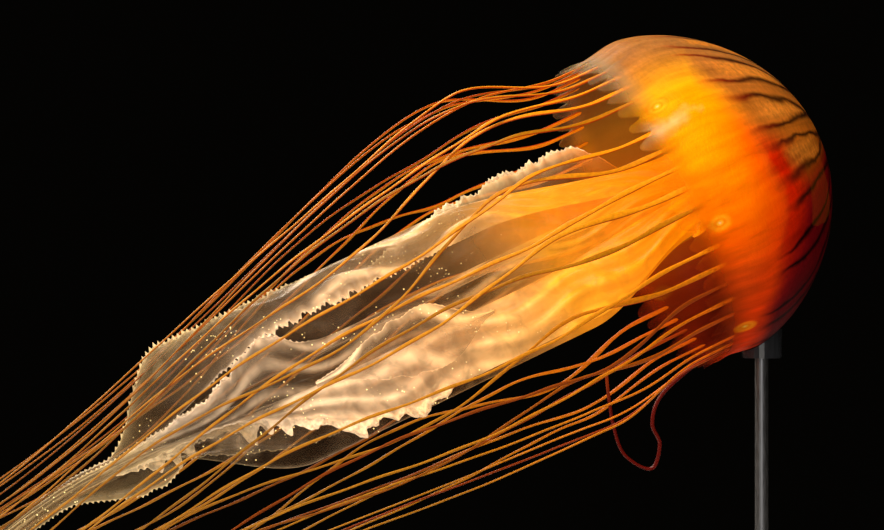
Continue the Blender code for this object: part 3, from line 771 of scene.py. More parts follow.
@dataclass(frozen=True)
class ArmTissue(Finish):
    """Thin wet gastric tissue, grown in pleats: clear brownish webs, milky creased ridges,
    cream lips, and specks of gold where food has caught."""

    name: str = "oral_arm_tissue_wet"
    sockets: Sockets = (
        ("Roughness", 0.35), ("IOR", 1.36), ("Specular IOR Level", 0.22),
        ("Subsurface Weight", 0.2), ("Subsurface Radius", (1.0, 0.75, 0.5)),
        ("Subsurface Scale", 2.0 * MM))
    crease_pitch: float = 9.0 * MM
    speck_pitch: float = 2.6 * MM
    speck_size: float = 0.60 * MM
    web_alpha: float = 0.24

    def pattern(self, tree: bpy.types.NodeTree) -> dict[str, NodeInput]:
        """Colours a sheet by its distance from the bell and its place between rib and lip.

        Args:
            tree: Node tree that receives the nodes.

        Returns:
            The shader's input names to what goes into them.
        """
        place = add_node(tree, STORED, attribute_name="bell_place").outputs["Vector"]
        run, lie, milky = (add_node(tree, STORED, attribute_name=name).outputs["Fac"]
                           for name in ("run", "lie", "milk"))
        along = add_node(tree, RANGE, {0: run, 2: 0.5})
        milk = add_node(tree, RAMP, {0: along}, stops=[
            (0.0, "#F08600"), (0.14, "#F8A420"), (0.26, "#FFC47C"), (0.38, "#FDD2A0"),
            (0.62, "#F6DCBC"), (1.0, "#EED0A4")])
        web = add_node(tree, RAMP, {0: along}, stops=[
            (0.0, "#A85A10"), (0.16, "#8C6024"), (0.30, "#6A4C2E"), (0.6, "#5C442C"),
            (1.0, "#86683C")])
        near = add_node(tree, SPLIT, {0: place}).outputs[1]
        far_side = add_node(tree, RANGE, {0: near, 1: 0.0, 2: -0.016}, **SMOOTH)
        clear_of_bell = add_node(tree, RANGE, {0: run, 1: -0.002, 2: 0.03})
        cream = add_node(tree, MATH, {0: far_side, 1: clear_of_bell}, operation="MULTIPLY")
        milk = add_node(tree, MIX, {"Factor": cream, 6: milk, 7: linear("#DCC08A")}, **COLOURS)

        ripple_at = add_node(tree, JOIN, {
            0: add_node(tree, MATH, {0: run, 1: 1.0 / self.crease_pitch}, operation="MULTIPLY"),
            1: add_node(tree, MATH, {0: lie, 1: 3.0}, operation="MULTIPLY")})
        ripple = add_node(tree, NOISE, {"Vector": ripple_at, "Scale": 1.0, "Detail": 2.0,
                                        "Distortion": 0.6})
        thick = self.thickness(tree, place, ripple, run, milky, far_side)
        colour = add_node(tree, MIX, {"Factor": thick, 6: web, 7: milk}, **COLOURS)
        tone = add_node(tree, RANGE, {0: ripple, 1: 0.3, 2: 0.7, 3: 0.88, 4: 1.08})
        colour = add_node(tree, VECTOR, {0: colour, "Scale": tone}, operation="SCALE")
        speck = self.specks(tree, place, run)
        colour = add_node(tree, MIX, {"Factor": speck, 6: colour, 7: linear("#FFE9A0")}, **COLOURS)

        # painted glow: emission lights the arm near the bell, its milky parts and its specks
        painted_glow = add_node(tree, RANGE, {0: run, 2: 0.18, 3: 0.42, 4: 0.06})
        for part, strength in ((thick, 0.42), (speck, 0.9)):
            painted_glow = add_node(tree, MATH, {0: part, 1: strength, 2: painted_glow}, operation="MULTIPLY_ADD")
        solid = add_node(tree, MATH, {0: thick, 1: speck}, operation="MAXIMUM")
        clear = add_node(tree, RANGE, {0: solid, 3: self.web_alpha, 4: 0.93})
        bump = add_node(tree, "ShaderNodeBump", {"Height": ripple, "Strength": 0.3,
                                                 "Distance": 1.0 * MM})
        return {"Base Color": colour, "Emission Color": colour, "Emission Strength": painted_glow,
                "Alpha": clear, "Normal": bump}

    def thickness(self, tree: bpy.types.NodeTree, place: NodeInput, ripple: NodeInput,
                  run: NodeInput, milky: NodeInput, far_side: NodeInput) -> bpy.types.Node:
        """How thick and milky the sheet is: in creases, where it is grown so, and near the bell.

        Args:
            tree: Node tree that receives the nodes.
            place: The point in the bell's frame.
            ripple: Fine ripples across the sheet.
            run: Distance behind the margin.
            milky: How milky the sheet is grown.
            far_side: 1 on the far side.

        Returns:
            0 for a clear web, 1 for dense milky tissue.
        """
        cloud = add_node(tree, NOISE, {"Vector": place, "Scale": 15.0, "Detail": 3.0,
                                       "Roughness": 0.55})
        crease = add_node(tree, RANGE, {0: ripple, 1: 0.32, 2: 0.68})
        crease = add_node(tree, MATH, {0: crease, 1: 0.6, 2: 0.4}, operation="MULTIPLY_ADD")
        for factor in (add_node(tree, RANGE, {0: cloud, 1: 0.50, 2: 0.72}, **SMOOTH), 0.45):
            crease = add_node(tree, MATH, {0: crease, 1: factor}, operation="MULTIPLY")
        ribbed = add_node(tree, RANGE, {0: ripple, 1: 0.3, 2: 0.6, 3: 0.82, 4: 1.0})
        thick = add_node(tree, MATH, {0: milky, 1: ribbed}, operation="MULTIPLY")
        near_bell = add_node(tree, RANGE, {0: run, 1: 0.15, 2: 0.05, 3: 0.0, 4: 0.75}, **SMOOTH)
        near_side = add_node(tree, MATH, {0: 1.0, 1: far_side}, operation="SUBTRACT")
        near_bell = add_node(tree, MATH, {0: near_bell, 1: near_side}, operation="MULTIPLY")
        for part in (crease, near_bell):
            thick = add_node(tree, MATH, {0: thick, 1: part}, operation="MAXIMUM")
        return thick

    def specks(self, tree: bpy.types.NodeTree, place: NodeInput, run: NodeInput) -> bpy.types.Node:
        """Specks of caught food, in flocks and only well behind the bell.

        Args:
            tree: Node tree that receives the nodes.
            place: The point in the bell's frame.
            run: Distance behind the margin.

        Returns:
            1 inside a speck.
        """
        size = self.speck_size / self.speck_pitch
        cells = add_node(tree, "ShaderNodeTexVoronoi", {"Vector": place,
                                                        "Scale": 1.0 / self.speck_pitch})
        flock = add_node(tree, NOISE, {"Vector": place, "Scale": 34.0, "Detail": 1.0})
        flock = add_node(tree, RANGE, {0: flock, 1: 0.52, 2: 0.56})
        few = add_node(tree, "ShaderNodeSeparateColor", {0: cells.outputs["Color"]})
        few = add_node(tree, MATH, {0: few, 1: 0.5}, operation="GREATER_THAN")
        past_bell = add_node(tree, RANGE, {0: run, 1: 0.07, 2: 0.15})
        speck = add_node(tree, RANGE, {0: cells, 1: size, 2: 0.5 * size}, **SMOOTH)
        for factor in (flock, few, past_bell):
            speck = add_node(tree, MATH, {0: speck, 1: factor}, operation="MULTIPLY")
        return speck


@dataclass(frozen=True)
class LipFrill(Finish):
    """The frilled lip's dense milky tissue, grown in tight ruffles: soft, nearly opaque,
    cream with warm painted shadows for its folds laid as a fine grain, and a steady painted glow."""

    name: str = "lip_frill_milky"
    sockets: Sockets = (
        # a steady emission gives the whole frill a painted glow
        ("Emission Strength", 0.30), ("Roughness", 0.45), ("IOR", 1.36),
        ("Subsurface Weight", 0.3), ("Subsurface Radius", (1.0, 0.78, 0.55)),
        ("Subsurface Scale", 2.0 * MM))
    grain_pitch: float = 1.8 * MM

    def pattern(self, tree: bpy.types.NodeTree) -> dict[str, NodeInput]:
        """Colours the frill from amber near the bell to cream further back.

        Args:
            tree: Node tree that receives the nodes.

        Returns:
            The shader's input names to what goes into them.
        """
        place = add_node(tree, STORED, attribute_name="bell_place").outputs["Vector"]
        run = add_node(tree, STORED, attribute_name="run").outputs["Fac"]
        milk = add_node(tree, RAMP, {0: add_node(tree, RANGE, {0: run, 2: 0.5})}, stops=[
            (0.0, "#F09420"), (0.16, "#FABC60"), (0.30, "#FFD49C"), (0.5, "#FCDEB8"),
            (1.0, "#F2D8B0")])
        grain = add_node(tree, NOISE, {"Vector": place, "Detail": 2.0,
                                       "Scale": 0.4 / self.grain_pitch})
        near = add_node(tree, SPLIT, {0: place}).outputs[1]
        far_side = add_node(tree, RANGE, {0: near, 1: 0.0, 2: -0.016}, **SMOOTH)
        milk = add_node(tree, MIX, {"Factor": far_side, 6: milk, 7: linear("#F2D6A6")}, **COLOURS)
        tone = add_node(tree, RANGE, {0: grain, 1: 0.3, 2: 0.7, 3: 0.72, 4: 1.1})
        colour = add_node(tree, VECTOR, {0: milk, "Scale": tone}, operation="SCALE")
        clear = add_node(tree, RANGE, {0: grain, 1: 0.35, 2: 0.6, 3: 0.62, 4: 0.95})
        bump = add_node(tree, "ShaderNodeBump", {"Height": grain, "Strength": 0.8,
                                                 "Distance": 0.6 * MM})
        return {"Base Color": colour, "Emission Color": colour, "Alpha": clear, "Normal": bump}


@dataclass(frozen=True)
class TentacleTissue(Finish):
    """Stretched contractile tissue: a golden wet band with a dark red muscle line on one edge,
    paler where it is drawn out thin."""

    name: str = "tentacle_band_wet"
    sockets: Sockets = (
        ("Roughness", 0.45), ("IOR", 1.36), ("Specular IOR Level", 0.12),
        ("Subsurface Weight", 0.1), ("Subsurface Radius", (1.0, 0.6, 0.25)),
        ("Subsurface Scale", 1.0 * MM))
    bead_pitch: float = 2.4 * MM

    def pattern(self, tree: bpy.types.NodeTree) -> dict[str, NodeInput]:
        """Colours a band by the place across it, the distance from the bell and its side.

        Args:
            tree: Node tree that receives the nodes.

        Returns:
            The shader's input names to what goes into them.
        """
        run, lie, low, tint, red = (add_node(tree, STORED, attribute_name=name).outputs["Fac"]
                                    for name in ("run", "lie", "low", "tint", "red"))
        along = add_node(tree, RANGE, {0: run, 2: 0.55})
        gold = add_node(tree, RAMP, {0: along}, stops=[
            (0.0, "#EE8C08"), (0.15, "#DC8A14"), (0.45, "#C08020"), (1.0, "#9C7030")])
        # the tentacles on the lower side take a darker, redder ramp: their own colour darkened by
        # painted shade
        ruby = add_node(tree, RAMP, {0: along}, stops=[
            (0.0, "#C85A04"), (0.15, "#D07608"), (0.35, "#BC7C14"), (1.0, "#966A2C")])
        colour = add_node(tree, MIX, {"Factor": low, 6: gold, 7: ruby}, **COLOURS)
        bead_at = add_node(tree, JOIN, {
            0: add_node(tree, MATH, {0: run, 1: 1.0 / self.bead_pitch}, operation="MULTIPLY"),
            1: lie})
        beads = add_node(tree, NOISE, {"Vector": bead_at, "Scale": 1.0, "Detail": 2.0})
        tone = add_node(tree, RANGE, {0: beads, 1: 0.3, 2: 0.7, 3: 0.82, 4: 1.15})
        deep = add_node(tree, RANGE, {0: tint, 2: 0.5, 3: 0.42, 4: 1.0})
        for factor in (tone, deep):
            colour = add_node(tree, VECTOR, {0: colour, "Scale": factor}, operation="SCALE")

        # some low tentacles are maroon, their own colour darkened as painted shade of the lower side;
        # the hooked one is dark red, and each has a red edge
        maroon = add_node(tree, RANGE, {0: tint, 1: 0.45, 2: 0.12, 3: 0.0, 4: 0.8})
        maroon = add_node(tree, MATH, {0: maroon, 1: low}, operation="MULTIPLY")
        edge = add_node(tree, RANGE, {0: along, 1: 0.9, 2: 0.2, 3: 0.25, 4: 0.85})
        edge_line = add_node(tree, RANGE, {0: lie, 1: 0.55, 2: 0.90}, **SMOOTH)
        edge = add_node(tree, MATH, {0: edge_line, 1: edge}, operation="MULTIPLY")
        for factor, code in ((maroon, "#8A2808"), (red, "#580C05"), (edge, "#A01A04")):
            colour = add_node(tree, MIX, {"Factor": factor, 6: colour, 7: linear(code)}, **COLOURS)
        # painted glow: emission, strongest near the bell
        painted_glow = add_node(tree, RANGE, {0: along, 2: 0.5, 3: 0.30, 4: 0.08})
        clear = add_node(tree, RANGE, {0: along, 1: 0.1, 3: 0.97, 4: 0.72})
        return {"Base Color": colour, "Emission Color": colour, "Emission Strength": painted_glow,
                "Alpha": clear}


class StandStock(Enum):
    """Stock that the stand is cut from: colour, roughness, metallic, IOR and grain in mm."""

    CAST_ACRYLIC = ("#0C0C0E", 0.22, 0.0, 1.49, 0.9)
    BRUSHED_STEEL = ("#74767A", 0.38, 1.0, 1.5, 0.35)
    SMOKED_ACRYLIC = ("#2C2E32", 0.20, 0.0, 1.49, 0.6)


@dataclass(frozen=True)
class StandFinish(Finish):
    """A plain stand finish: polished acrylic sheet or brushed steel rod, with faint wear."""

    name: str = "stand_stock"
    stock: StandStock = StandStock.CAST_ACRYLIC

    def pattern(self, tree: bpy.types.NodeTree) -> dict[str, NodeInput]:
        """Adds faint streaks of wear to the stock's colour and gloss.

        Args:
            tree: Node tree that receives the nodes.

        Returns:
            The shader's input names to what goes into them.
        """
        code, roughness, metallic, ior, grain = self.stock.value
        place = add_node(tree, "ShaderNodeTexCoord").outputs["Object"]
        stretch = add_node(tree, "ShaderNodeMapping", {0: place, "Scale": (1.0, 1.0, 0.15)})
        wear = add_node(tree, NOISE, {"Vector": stretch, "Detail": 3.0,
                                      "Scale": 1.0 / (grain * MM) * 0.3})
        tone = add_node(tree, RANGE, {0: wear, 1: 0.3, 2: 0.7, 3: 0.86, 4: 1.12})
        colour = add_node(tree, VECTOR, {0: linear(code)[:3], "Scale": tone}, operation="SCALE")
        gloss = add_node(tree, RANGE, {0: wear, 1: 0.3, 2: 0.7, 3: 0.8 * roughness,
                                       4: 1.3 * roughness})
        uniform = {"Metallic": metallic} if metallic else {"Metallic": metallic, "IOR": ior}
        return {"Base Color": colour, "Roughness": gloss, **uniform}


@dataclass(frozen=True)
class FloorFinish(Finish):
    """Matt painted board for the studio floor: pale, soft and barely mottled."""

    name: str = "floor_matt_paint"
    sockets: Sockets = (("Roughness", 0.75),)

    def pattern(self, tree: bpy.types.NodeTree) -> dict[str, NodeInput]:
        """Adds the board's faint mottle.

        Args:
            tree: Node tree that receives the nodes.

        Returns:
            The shader's input names to what goes into them.
        """
        place = add_node(tree, "ShaderNodeTexCoord").outputs["Object"]
        mottle = add_node(tree, NOISE, {"Vector": place, "Scale": 4.0})
        tint = add_node(tree, RAMP, {0: mottle}, stops=[(0.3, "#D2D0CC"), (0.7, "#DAD8D4")])
        return {"Base Color": tint}


# ------------------------------------------------------------------ the animal
@dataclass
class Bell:
    """The bell: one shell folded in at its margin, which is drawn out into forty-eight lappets.

    It is open at the very apex, where each side ends in a small ring.
    """

    place: Matrix
    radius: float = 0.100
    depth: float = 0.1115
    widest: float = 0.024
    shoulder: float = 1.58
    margin_radius: float = 0.097
    apex_wall: float = 0.014
    cut_wall: float = 0.0026
    edge_wall: float = 0.0012
    cut_height: float = 0.010
    wall_growth: float = 1.3
    lappets: int = 48
    first_organ: float = 12.5
    cleft_height: float = 0.002
    lappet_length: float = 0.0125
    furrow_depth: float = 0.0005
    flutter_depth: float = 0.0010
    flutter_waves: tuple[float, float, float] = (31.0, 5.0, 83.0)
    first_ring: float = 0.004
    dome_rings: int = 84
    skirt_rings: int = 34
    columns: int = 384
    finish: BellJelly = BellJelly()

    def outline(self, turn: Array) -> tuple[Array, Array]:
        """Radius and height of the outside above the widest level.

        Args:
            turn: 0 at the apex and 1 at the widest.

        Returns:
            Radius and height.
        """
        angle = np.radians(90.0 * turn)
        rise = np.clip(np.cos(angle), 0.0, None) ** (2.0 / self.shoulder)
        return self.radius * np.sin(angle), self.widest + (self.depth - self.widest) * rise

    def below(self, height: Array) -> Array:
        """Radius of the outside below the widest level."""
        drop = ease((self.widest - height) / self.widest)
        return self.radius + (self.margin_radius - self.radius) * drop

    def wall(self, height: Array) -> Array:
        """Wall thickness, which grows from the lappets to the apex.

        Args:
            height: Heights above the margin's plane.

        Returns:
            Thicknesses in metres.
        """
        low = ease((height + self.lappet_length) / (self.cut_height + self.lappet_length))
        high = np.clip((height - self.cut_height) / (self.depth - self.cut_height), 0.0, 1.0)
        return np.where(height < self.cut_height,
                        self.edge_wall + (self.cut_wall - self.edge_wall) * low,
                        self.cut_wall + (self.apex_wall - self.cut_wall) * high ** self.wall_growth)

    def lining(self, turn: Array) -> tuple[Array, Array]:
        """Radius and height of the inside, one wall in from the outside.

        Args:
            turn: 0 at the apex and 1 at the widest.

        Returns:
            Radius and height.
        """
        step = 0.002
        radius, height = self.outline(turn)
        ahead, behind = self.outline(np.minimum(turn + step, 1.0)), self.outline(turn - step)
        run_r, run_h = ahead[0] - behind[0], ahead[1] - behind[1]
        size = np.hypot(run_r, run_h)
        wall = self.wall(height)
        return np.maximum(radius + run_h / size * wall, 0.0002), height - run_r / size * wall

    def skirt(self, angle: Array) -> tuple[Array, Array]:
        """Radius and height of the outside from the widest level to the lappets' edges.

        Args:
            angle: Angles around the bell in degrees.

        Returns:
            Radius and height.
        """
        phase = np.radians((angle - self.first_organ) * self.lappets / 2.0)
        reach = np.abs(np.sin(phase)) ** 0.7
        edge = self.cleft_height - reach * (self.cleft_height + self.lappet_length)
        down = np.linspace(0.0, 1.0, self.skirt_rings)[1:, None]
        height = self.widest + (edge - self.widest) * down
        wide, slow, fine = self.flutter_waves
        fold = np.sin(np.radians(angle * wide) + 1.7 * np.sin(np.radians(angle * slow)))
        fold = fold + 0.6 * np.sin(np.radians(angle * fine) + 2.0)
        furrow = -self.furrow_depth * (1.0 - reach) * ease(down * 1.6)
        flutter = self.flutter_depth * fold * ease((down - 0.55) / 0.45)
        return self.below(height) + 0.0 * angle + furrow + flutter, height

    def build(self) -> bpy.types.Object:
        """Makes the bell's skin.

        Returns:
            The bell as one object.
        """
        angle = np.linspace(0.0, 360.0, self.columns, endpoint=False)[None, :]
        turn = np.linspace(self.first_ring, 1.0, self.dome_rings)[:, None]
        dome, skirt, lining = self.outline(turn), self.skirt(angle), self.lining(turn)
        under = (skirt[0] - self.wall(skirt[1]), skirt[1])
        shell = (dome, skirt, [part[::-1] for part in under], [part[::-2] for part in lining])
        radius, height = (np.concatenate([part[axis] + 0.0 * angle for part in shell])
                          for axis in (0, 1))
        x, y = polar(radius, angle)
        outside = len(dome[0]) + len(skirt[0])
        inner = (np.arange(len(radius)) >= outside).astype(float)[:, None] + 0.0 * angle
        points = np.stack([x, y, height], axis=-1)
        mesh = mesh_of("bell_skin", [Sheet(points, {"inner": inner}, closed=True)])
        return skin("bell_skin", mesh, [self.finish],
                    ["bell_dome", "bell_margin"], self.place)


@dataclass
class MouthTube:
    """The tube that hangs from the middle of the bell, four-lobed towards the mouth."""

    place: Matrix
    bottom: float = 0.022
    lobe: float = 0.08
    start_angle: float = 25.0
    profile: tuple[tuple[float, float], ...] = ((0.022, 0.0255), (0.042, 0.021), (0.060, 0.021),
                                                (0.076, 0.030), (0.094, 0.052))
    lobed_below: float = 0.076
    ribs: int = 24
    rib_depth: float = 0.0004
    pinch: float = 0.02
    columns: int = 96
    rings: int = 60

    def build(self) -> bpy.types.Object:
        """Makes the mouth tube's skin.

        Returns:
            The tube as one object.
        """
        angle = np.linspace(0.0, 360.0, self.columns, endpoint=False)[None, :]
        height = np.linspace(self.bottom, self.profile[-1][0], self.rings)[:, None]
        mean = along_knots(self.profile, height)
        low = np.clip((self.lobed_below - height) / (self.lobed_below - self.bottom), 0.0, 1.0)
        lobe = self.lobe * low
        radius = mean * (1.0 + lobe * np.cos(np.radians(4.0 * (angle - self.start_angle))))
        radius = radius + self.rib_depth * np.sin(np.radians(angle * self.ribs))
        x, y = polar(radius, angle)
        points = np.stack(np.broadcast_arrays(x, y, height), axis=-1)
        pinched = points * np.array([self.pinch, self.pinch, 1.0])
        points = np.concatenate([pinched[:1], points, pinched[-1:]])
        values = {"run": -points[..., 2], "lie": 0.0 * points[..., 2],
                  "milk": 1.0 + 0.0 * points[..., 2]}
        mesh = mesh_of("mouth_tube_skin", [Sheet(points, values, closed=True)])
        return skin("mouth_tube_skin", mesh, [ArmTissue()], ["manubrium"],
                    self.place)


@dataclass(frozen=True)
class EdgeLine:
    """A long edge of a veil: from its root out to its crown, then back to its tail.

    Root, crown and tail are (up, near) in millimetres from the swimming axis. Places are
    millimetres behind the margin. A swell is one fold that stands out from the line.
    """

    root: tuple[float, float]
    crown: tuple[float, float]
    tail: tuple[float, float] = (0.0, 0.0)
    begins: float = -22.0
    full_by: float = 90.0
    full_to: float = 230.0
    ends: float = 350.0
    swell: float = 0.0
    swell_at: float = 0.0
    swell_length: float = 20.0

    def at(self, s: Array) -> Array:
        """Reads the line.

        Args:
            s: Places in millimetres.

        Returns:
            Rows of up and near.
        """
        out = ease((s - self.begins) / (self.full_by - self.begins))[:, None]
        back = ease((s - self.full_to) / (self.ends - self.full_to))[:, None]
        root, crown, tail = (np.array(point) for point in (self.root, self.crown, self.tail))
        line = root + (crown - root) * out + (tail - crown) * back
        fold = self.swell * np.exp(-((s - self.swell_at) / self.swell_length) ** 2)
        return line + np.stack([fold, 0.0 * s], -1)


@dataclass(frozen=True)
class Frilling:
    """Where an edge is frilled, in millimetres behind the margin, and how strongly."""

    strength: float = 0.0
    begins: float = -30.0
    full_by: float = 20.0
    full_to: float = 300.0
    ends: float = 420.0

    def at(self, s: Array) -> Array:
        """Strength of the frill at places in millimetres."""
        grown = ease((s - self.begins) / (self.full_by - self.begins))
        return self.strength * grown * (1.0 - ease((s - self.full_to) / (self.ends - self.full_to)))


@dataclass(frozen=True)
class Veil:
    """One thin sheet of an oral arm, hung between two edge lines. Lengths are in millimetres.

    Attributes:
        upper: Its upper edge, with upper_frill for how frilled that edge is.
        lower: Its lower edge, with lower_frill for how frilled that edge is.
        length: How far behind the margin it ends.
        bulge: How far its middle stands out.
        folds: Number of long folds across it, each fold_depth deep.
        milk: How milky it is, as far back as milky_to.
        even: 0 where the milk lies in the folds alone, 1 where it is even.
        salt: Phase that sets its folds apart from another veil's.
        ruffle_reach: How far the ruffles of an edge run into the sheet.
        thick_from: Strength of frill above which an edge also gets a thick ruffle.
        roll: How far round that ruffle rolls, in radians.
        sag: How far the sheet sinks at its end, and where that starts and how long it takes.
    """

    upper: EdgeLine
    lower: EdgeLine
    length: float
    upper_frill: Frilling = Frilling()
    lower_frill: Frilling = Frilling()
    bulge: float = 5.0
    folds: float = 2.0
    fold_depth: float = 1.6
    milk: float = 0.25
    milky_to: float = 600.0
    even: float = 0.0
    salt: float = 0.0
    columns: int = 34
    row_step: float = 1.0
    ruffle_reach: float = 4.0
    thick_from: float = 0.6
    ruffle_width: float = 3.0
    roll: float = 2.1
    tooth_every: int = 3
    tooth_length: float = 1.2
    sag: tuple[float, float, float] = (28.0, 360.0, 150.0)
    turn_rows: int = 41
    drift_wave: float = 83.0
    fold_wave: float = 61.0
    ripple_wave: float = 23.0
    wander_wave: float = 47.0
    ruffle_waves: tuple[float, float] = (9.5, 5.1)
    side_wave: float = 21.0
    lip_waves: tuple[float, float] = (53.0, 31.0)

    def rows(self) -> Array:
        """Distances of the sheet's rows in millimetres."""
        start = max(self.upper.begins, self.lower.begins)
        return np.arange(start, self.length + 0.5 * self.row_step, self.row_step)

    def in_stream(self, stream: Stream, flat: Array, s: Array) -> Array:
        """Lays flat points of the sheet into the stream.

        Args:
            stream: The flow that the arms trail in.
            flat: Rows and columns of up and near in millimetres.
            s: The rows' distances in millimetres.

        Returns:
            The points in the bell's frame.
        """
        sag = self.sag[0] * ease((s - self.sag[1]) / self.sag[2])
        run = s * MM + 0.0 * flat[..., 0]
        return stream.point((flat[..., 0] - sag) * MM, flat[..., 1] * MM, run)

    def off_sheet(self, outward: Array, along: Array) -> Array:
        """Directions off the sheet, on its outward side.

        That side may swap where the edges cross, so the directions turn slowly.

        Args:
            outward: Directions away from the swimming axis, one for each row.
            along: Directions from the upper edge to the lower, one for each row.

        Returns:
            Rows of up and near.
        """
        normal = np.stack([-along[:, 1], along[:, 0]], -1)
        normal = normal * np.where(np.sum(normal * outward, axis=1, keepdims=True) < 0.0, -1.0, 1.0)
        kernel = np.ones(self.turn_rows) / self.turn_rows
        pad = self.turn_rows // 2
        return np.stack([np.convolve(np.pad(normal[:, k], pad, mode="edge"), kernel, "valid")
                         for k in range(2)], -1)

    def sheets(self, stream: Stream) -> list[Sheet]:
        """Makes the veil and the ruffles along its frilled edges.

        Args:
            stream: The flow that the arms trail in.

        Returns:
            The veil first, then a thick ruffle for each edge that is frilled enough.
        """
        s = self.rows()[:, None]
        q = 0.5 - 0.5 * np.cos(np.linspace(0.0, math.pi, self.columns))[None, :]
        ends = [line.at(s[:, 0]) for line in (self.upper, self.lower)]
        across = ends[1] - ends[0]
        width = np.linalg.norm(across, axis=1, keepdims=True)
        along = across / np.maximum(width, 0.5)
        normal = self.off_sheet(ends[0] + ends[1], along)
        room = np.minimum(width / 26.0, 1.0)
        open_share = ease((s + 22.0) / 60.0)
        salt = self.salt
        drift = 0.9 * wave(s, self.drift_wave, salt)
        phase = 2.0 * math.pi * (self.folds * q + 0.35 * drift) + salt
        lift = self.fold_depth * (np.sin(phase) + 0.45 * wave(s, self.fold_wave, 2.3 * phase))
        lift = lift + 0.5 * wave(s, self.ripple_wave, 3.4 * math.pi * q + 3.0 * drift)
        lift = (lift * np.sin(math.pi * q) + self.bulge * np.sin(math.pi * q)) * room
        side = 0.0 * q * s
        milk = self.even + (1.0 - self.even) * (0.5 + 0.5 * np.sin(phase + 0.8)) ** 2
        milk = self.milk * milk
        milk = milk * (1.0 - 0.85 * ease((s - self.milky_to) / 30.0))
        for frill, gap in ((self.upper_frill, q), (self.lower_frill, 1.0 - q)):
            strength = frill.at(s[:, 0])[:, None]
            distance = gap * np.maximum(width, 0.5)
            near_lip = np.exp(-distance / self.ruffle_reach)
            wander = 1.7 * wave(s, self.wander_wave, 2.0 * salt)
            broad, fine = self.ruffle_waves
            ruffle = 1.7 * wave(s, broad, wander + salt) * near_lip
            ruffle = ruffle + 0.7 * wave(s, fine, 1.9 * wander) * near_lip ** 2
            lift = lift + ruffle * strength * open_share * room
            milk = np.maximum(milk, strength * np.exp(-distance / (1.9 * self.ruffle_reach)))
            edge = np.exp(-distance / 1.1)
            milk = np.maximum(milk, (0.5 + 0.5 * np.minimum(strength * 2.0, 1.0)) * edge)
            row = np.arange(len(s))[:, None]
            tooth = np.where((row % self.tooth_every == 0) & (gap < 1e-6), self.tooth_length, 0.0)
            out = -1.0 if gap is q else 1.0
            side = side + out * tooth * np.minimum(strength * 2.0, 1.0) * open_share
            swing = wave(s, self.side_wave, wander)
            side = side + out * 1.5 * strength * near_lip * swing * room
        flat = ends[0][:, None] + across[:, None] * q[..., None]
        flat = flat + normal[:, None] * lift[..., None] + along[:, None] * side[..., None]
        points = self.in_stream(stream, flat, s)
        values = {"run": s * MM + 0.0 * q, "lie": q + 0.0 * s, "milk": np.clip(milk, 0.0, 1.0)}
        made = [Sheet(points, values)]
        for number, frill in enumerate((self.upper_frill, self.lower_frill)):
            strength = frill.at(s[:, 0])
            if strength.max() > self.thick_from + 0.05:
                edge = flat[:, -number]
                out = along * (1.0 if number else -1.0)
                made.append(self.ruffle(stream, s[:, 0], edge, out, normal, strength, number))
        return made

    def ruffle(self, stream: Stream, run: Array, edge: Array, out: Array, normal: Array,
               strength: Array, number: int) -> Sheet:
        """The thick ruffle that grows on a frilled edge.

        Args:
            stream: The flow that the arms trail in.
            run: Distances of the rows in millimetres.
            edge: Points of the edge.
            out: Directions away from the sheet at the edge.
            normal: Directions off the sheet at the edge.
            strength: How frilled the edge is along its length.
            number: 0 for the upper edge and 1 for the lower.

        Returns:
            A narrow band folded back and forth.
        """
        fine = np.arange(run[0], run[-1], 0.5 * self.row_step)
        pick = [np.interp(fine, run, column) for column in (*edge.T, *out.T, *normal.T, strength)]
        edge, out, normal = (np.stack(pick[k:k + 2], -1)[:, None] for k in (0, 2, 4))
        room = 1.0 - self.thick_from
        full = np.clip(pick[6] - self.thick_from, 0.0, room)[:, None] / room
        s = fine[:, None]
        v = np.linspace(-0.7, 1.0, 13)[None, :]
        salt = 1.9 * self.salt + 2.7 * number
        slow = wave(s, self.lip_waves[0], 3.0 * salt)
        quick = wave(s, self.lip_waves[1], 1.7 * salt)
        width = self.ruffle_width * (1.0 + 0.35 * slow + 0.3 * quick) * full
        pitch = 4.0 + 1.5 * self.ruffle_width
        lobe = np.tanh(1.7 * wave(s, pitch, 2.3 * slow + salt))
        crimp = wave(s, 0.43 * pitch, 3.1 * quick)
        width = width * (1.0 + 0.26 * lobe + 0.07 * crimp)
        roll = self.roll * (v + 0.7) / 1.7
        lift = 0.55 * (1.0 - np.cos(roll)) + (0.34 * lobe + 0.12 * crimp) * np.sin(0.5 * roll)
        flat = edge + out * (width * np.sin(roll) - 0.4)[..., None]
        flat = flat + normal * (width * lift)[..., None]
        points = self.in_stream(stream, flat, s)
        values = {"run": s * MM + 0.0 * v, "lie": v + 0.0 * s, "milk": 1.0 + 0.0 * (s + v)}
        return Sheet(points, values, slot=1)


@dataclass
class OralArm:
    """One oral arm: the veils that hang from its rib, with frilled lips."""

    place: Matrix
    stream: Stream
    number: int
    veils: tuple[Veil, ...]

    def build(self) -> bpy.types.Object:
        """Makes the arm's skin.

        Returns:
            The arm as one object.
        """
        name = f"oral_arm_{self.number}"
        sheets = [sheet for veil in self.veils for sheet in veil.sheets(self.stream)]
        mesh = mesh_of(f"{name}_skin", sheets)
        nodes = [f"{name}_{length}" for length in ("upper", "middle", "lower")]
        return skin(f"{name}_skin", mesh, [ArmTissue(), LipFrill()], nodes,
                    self.place)


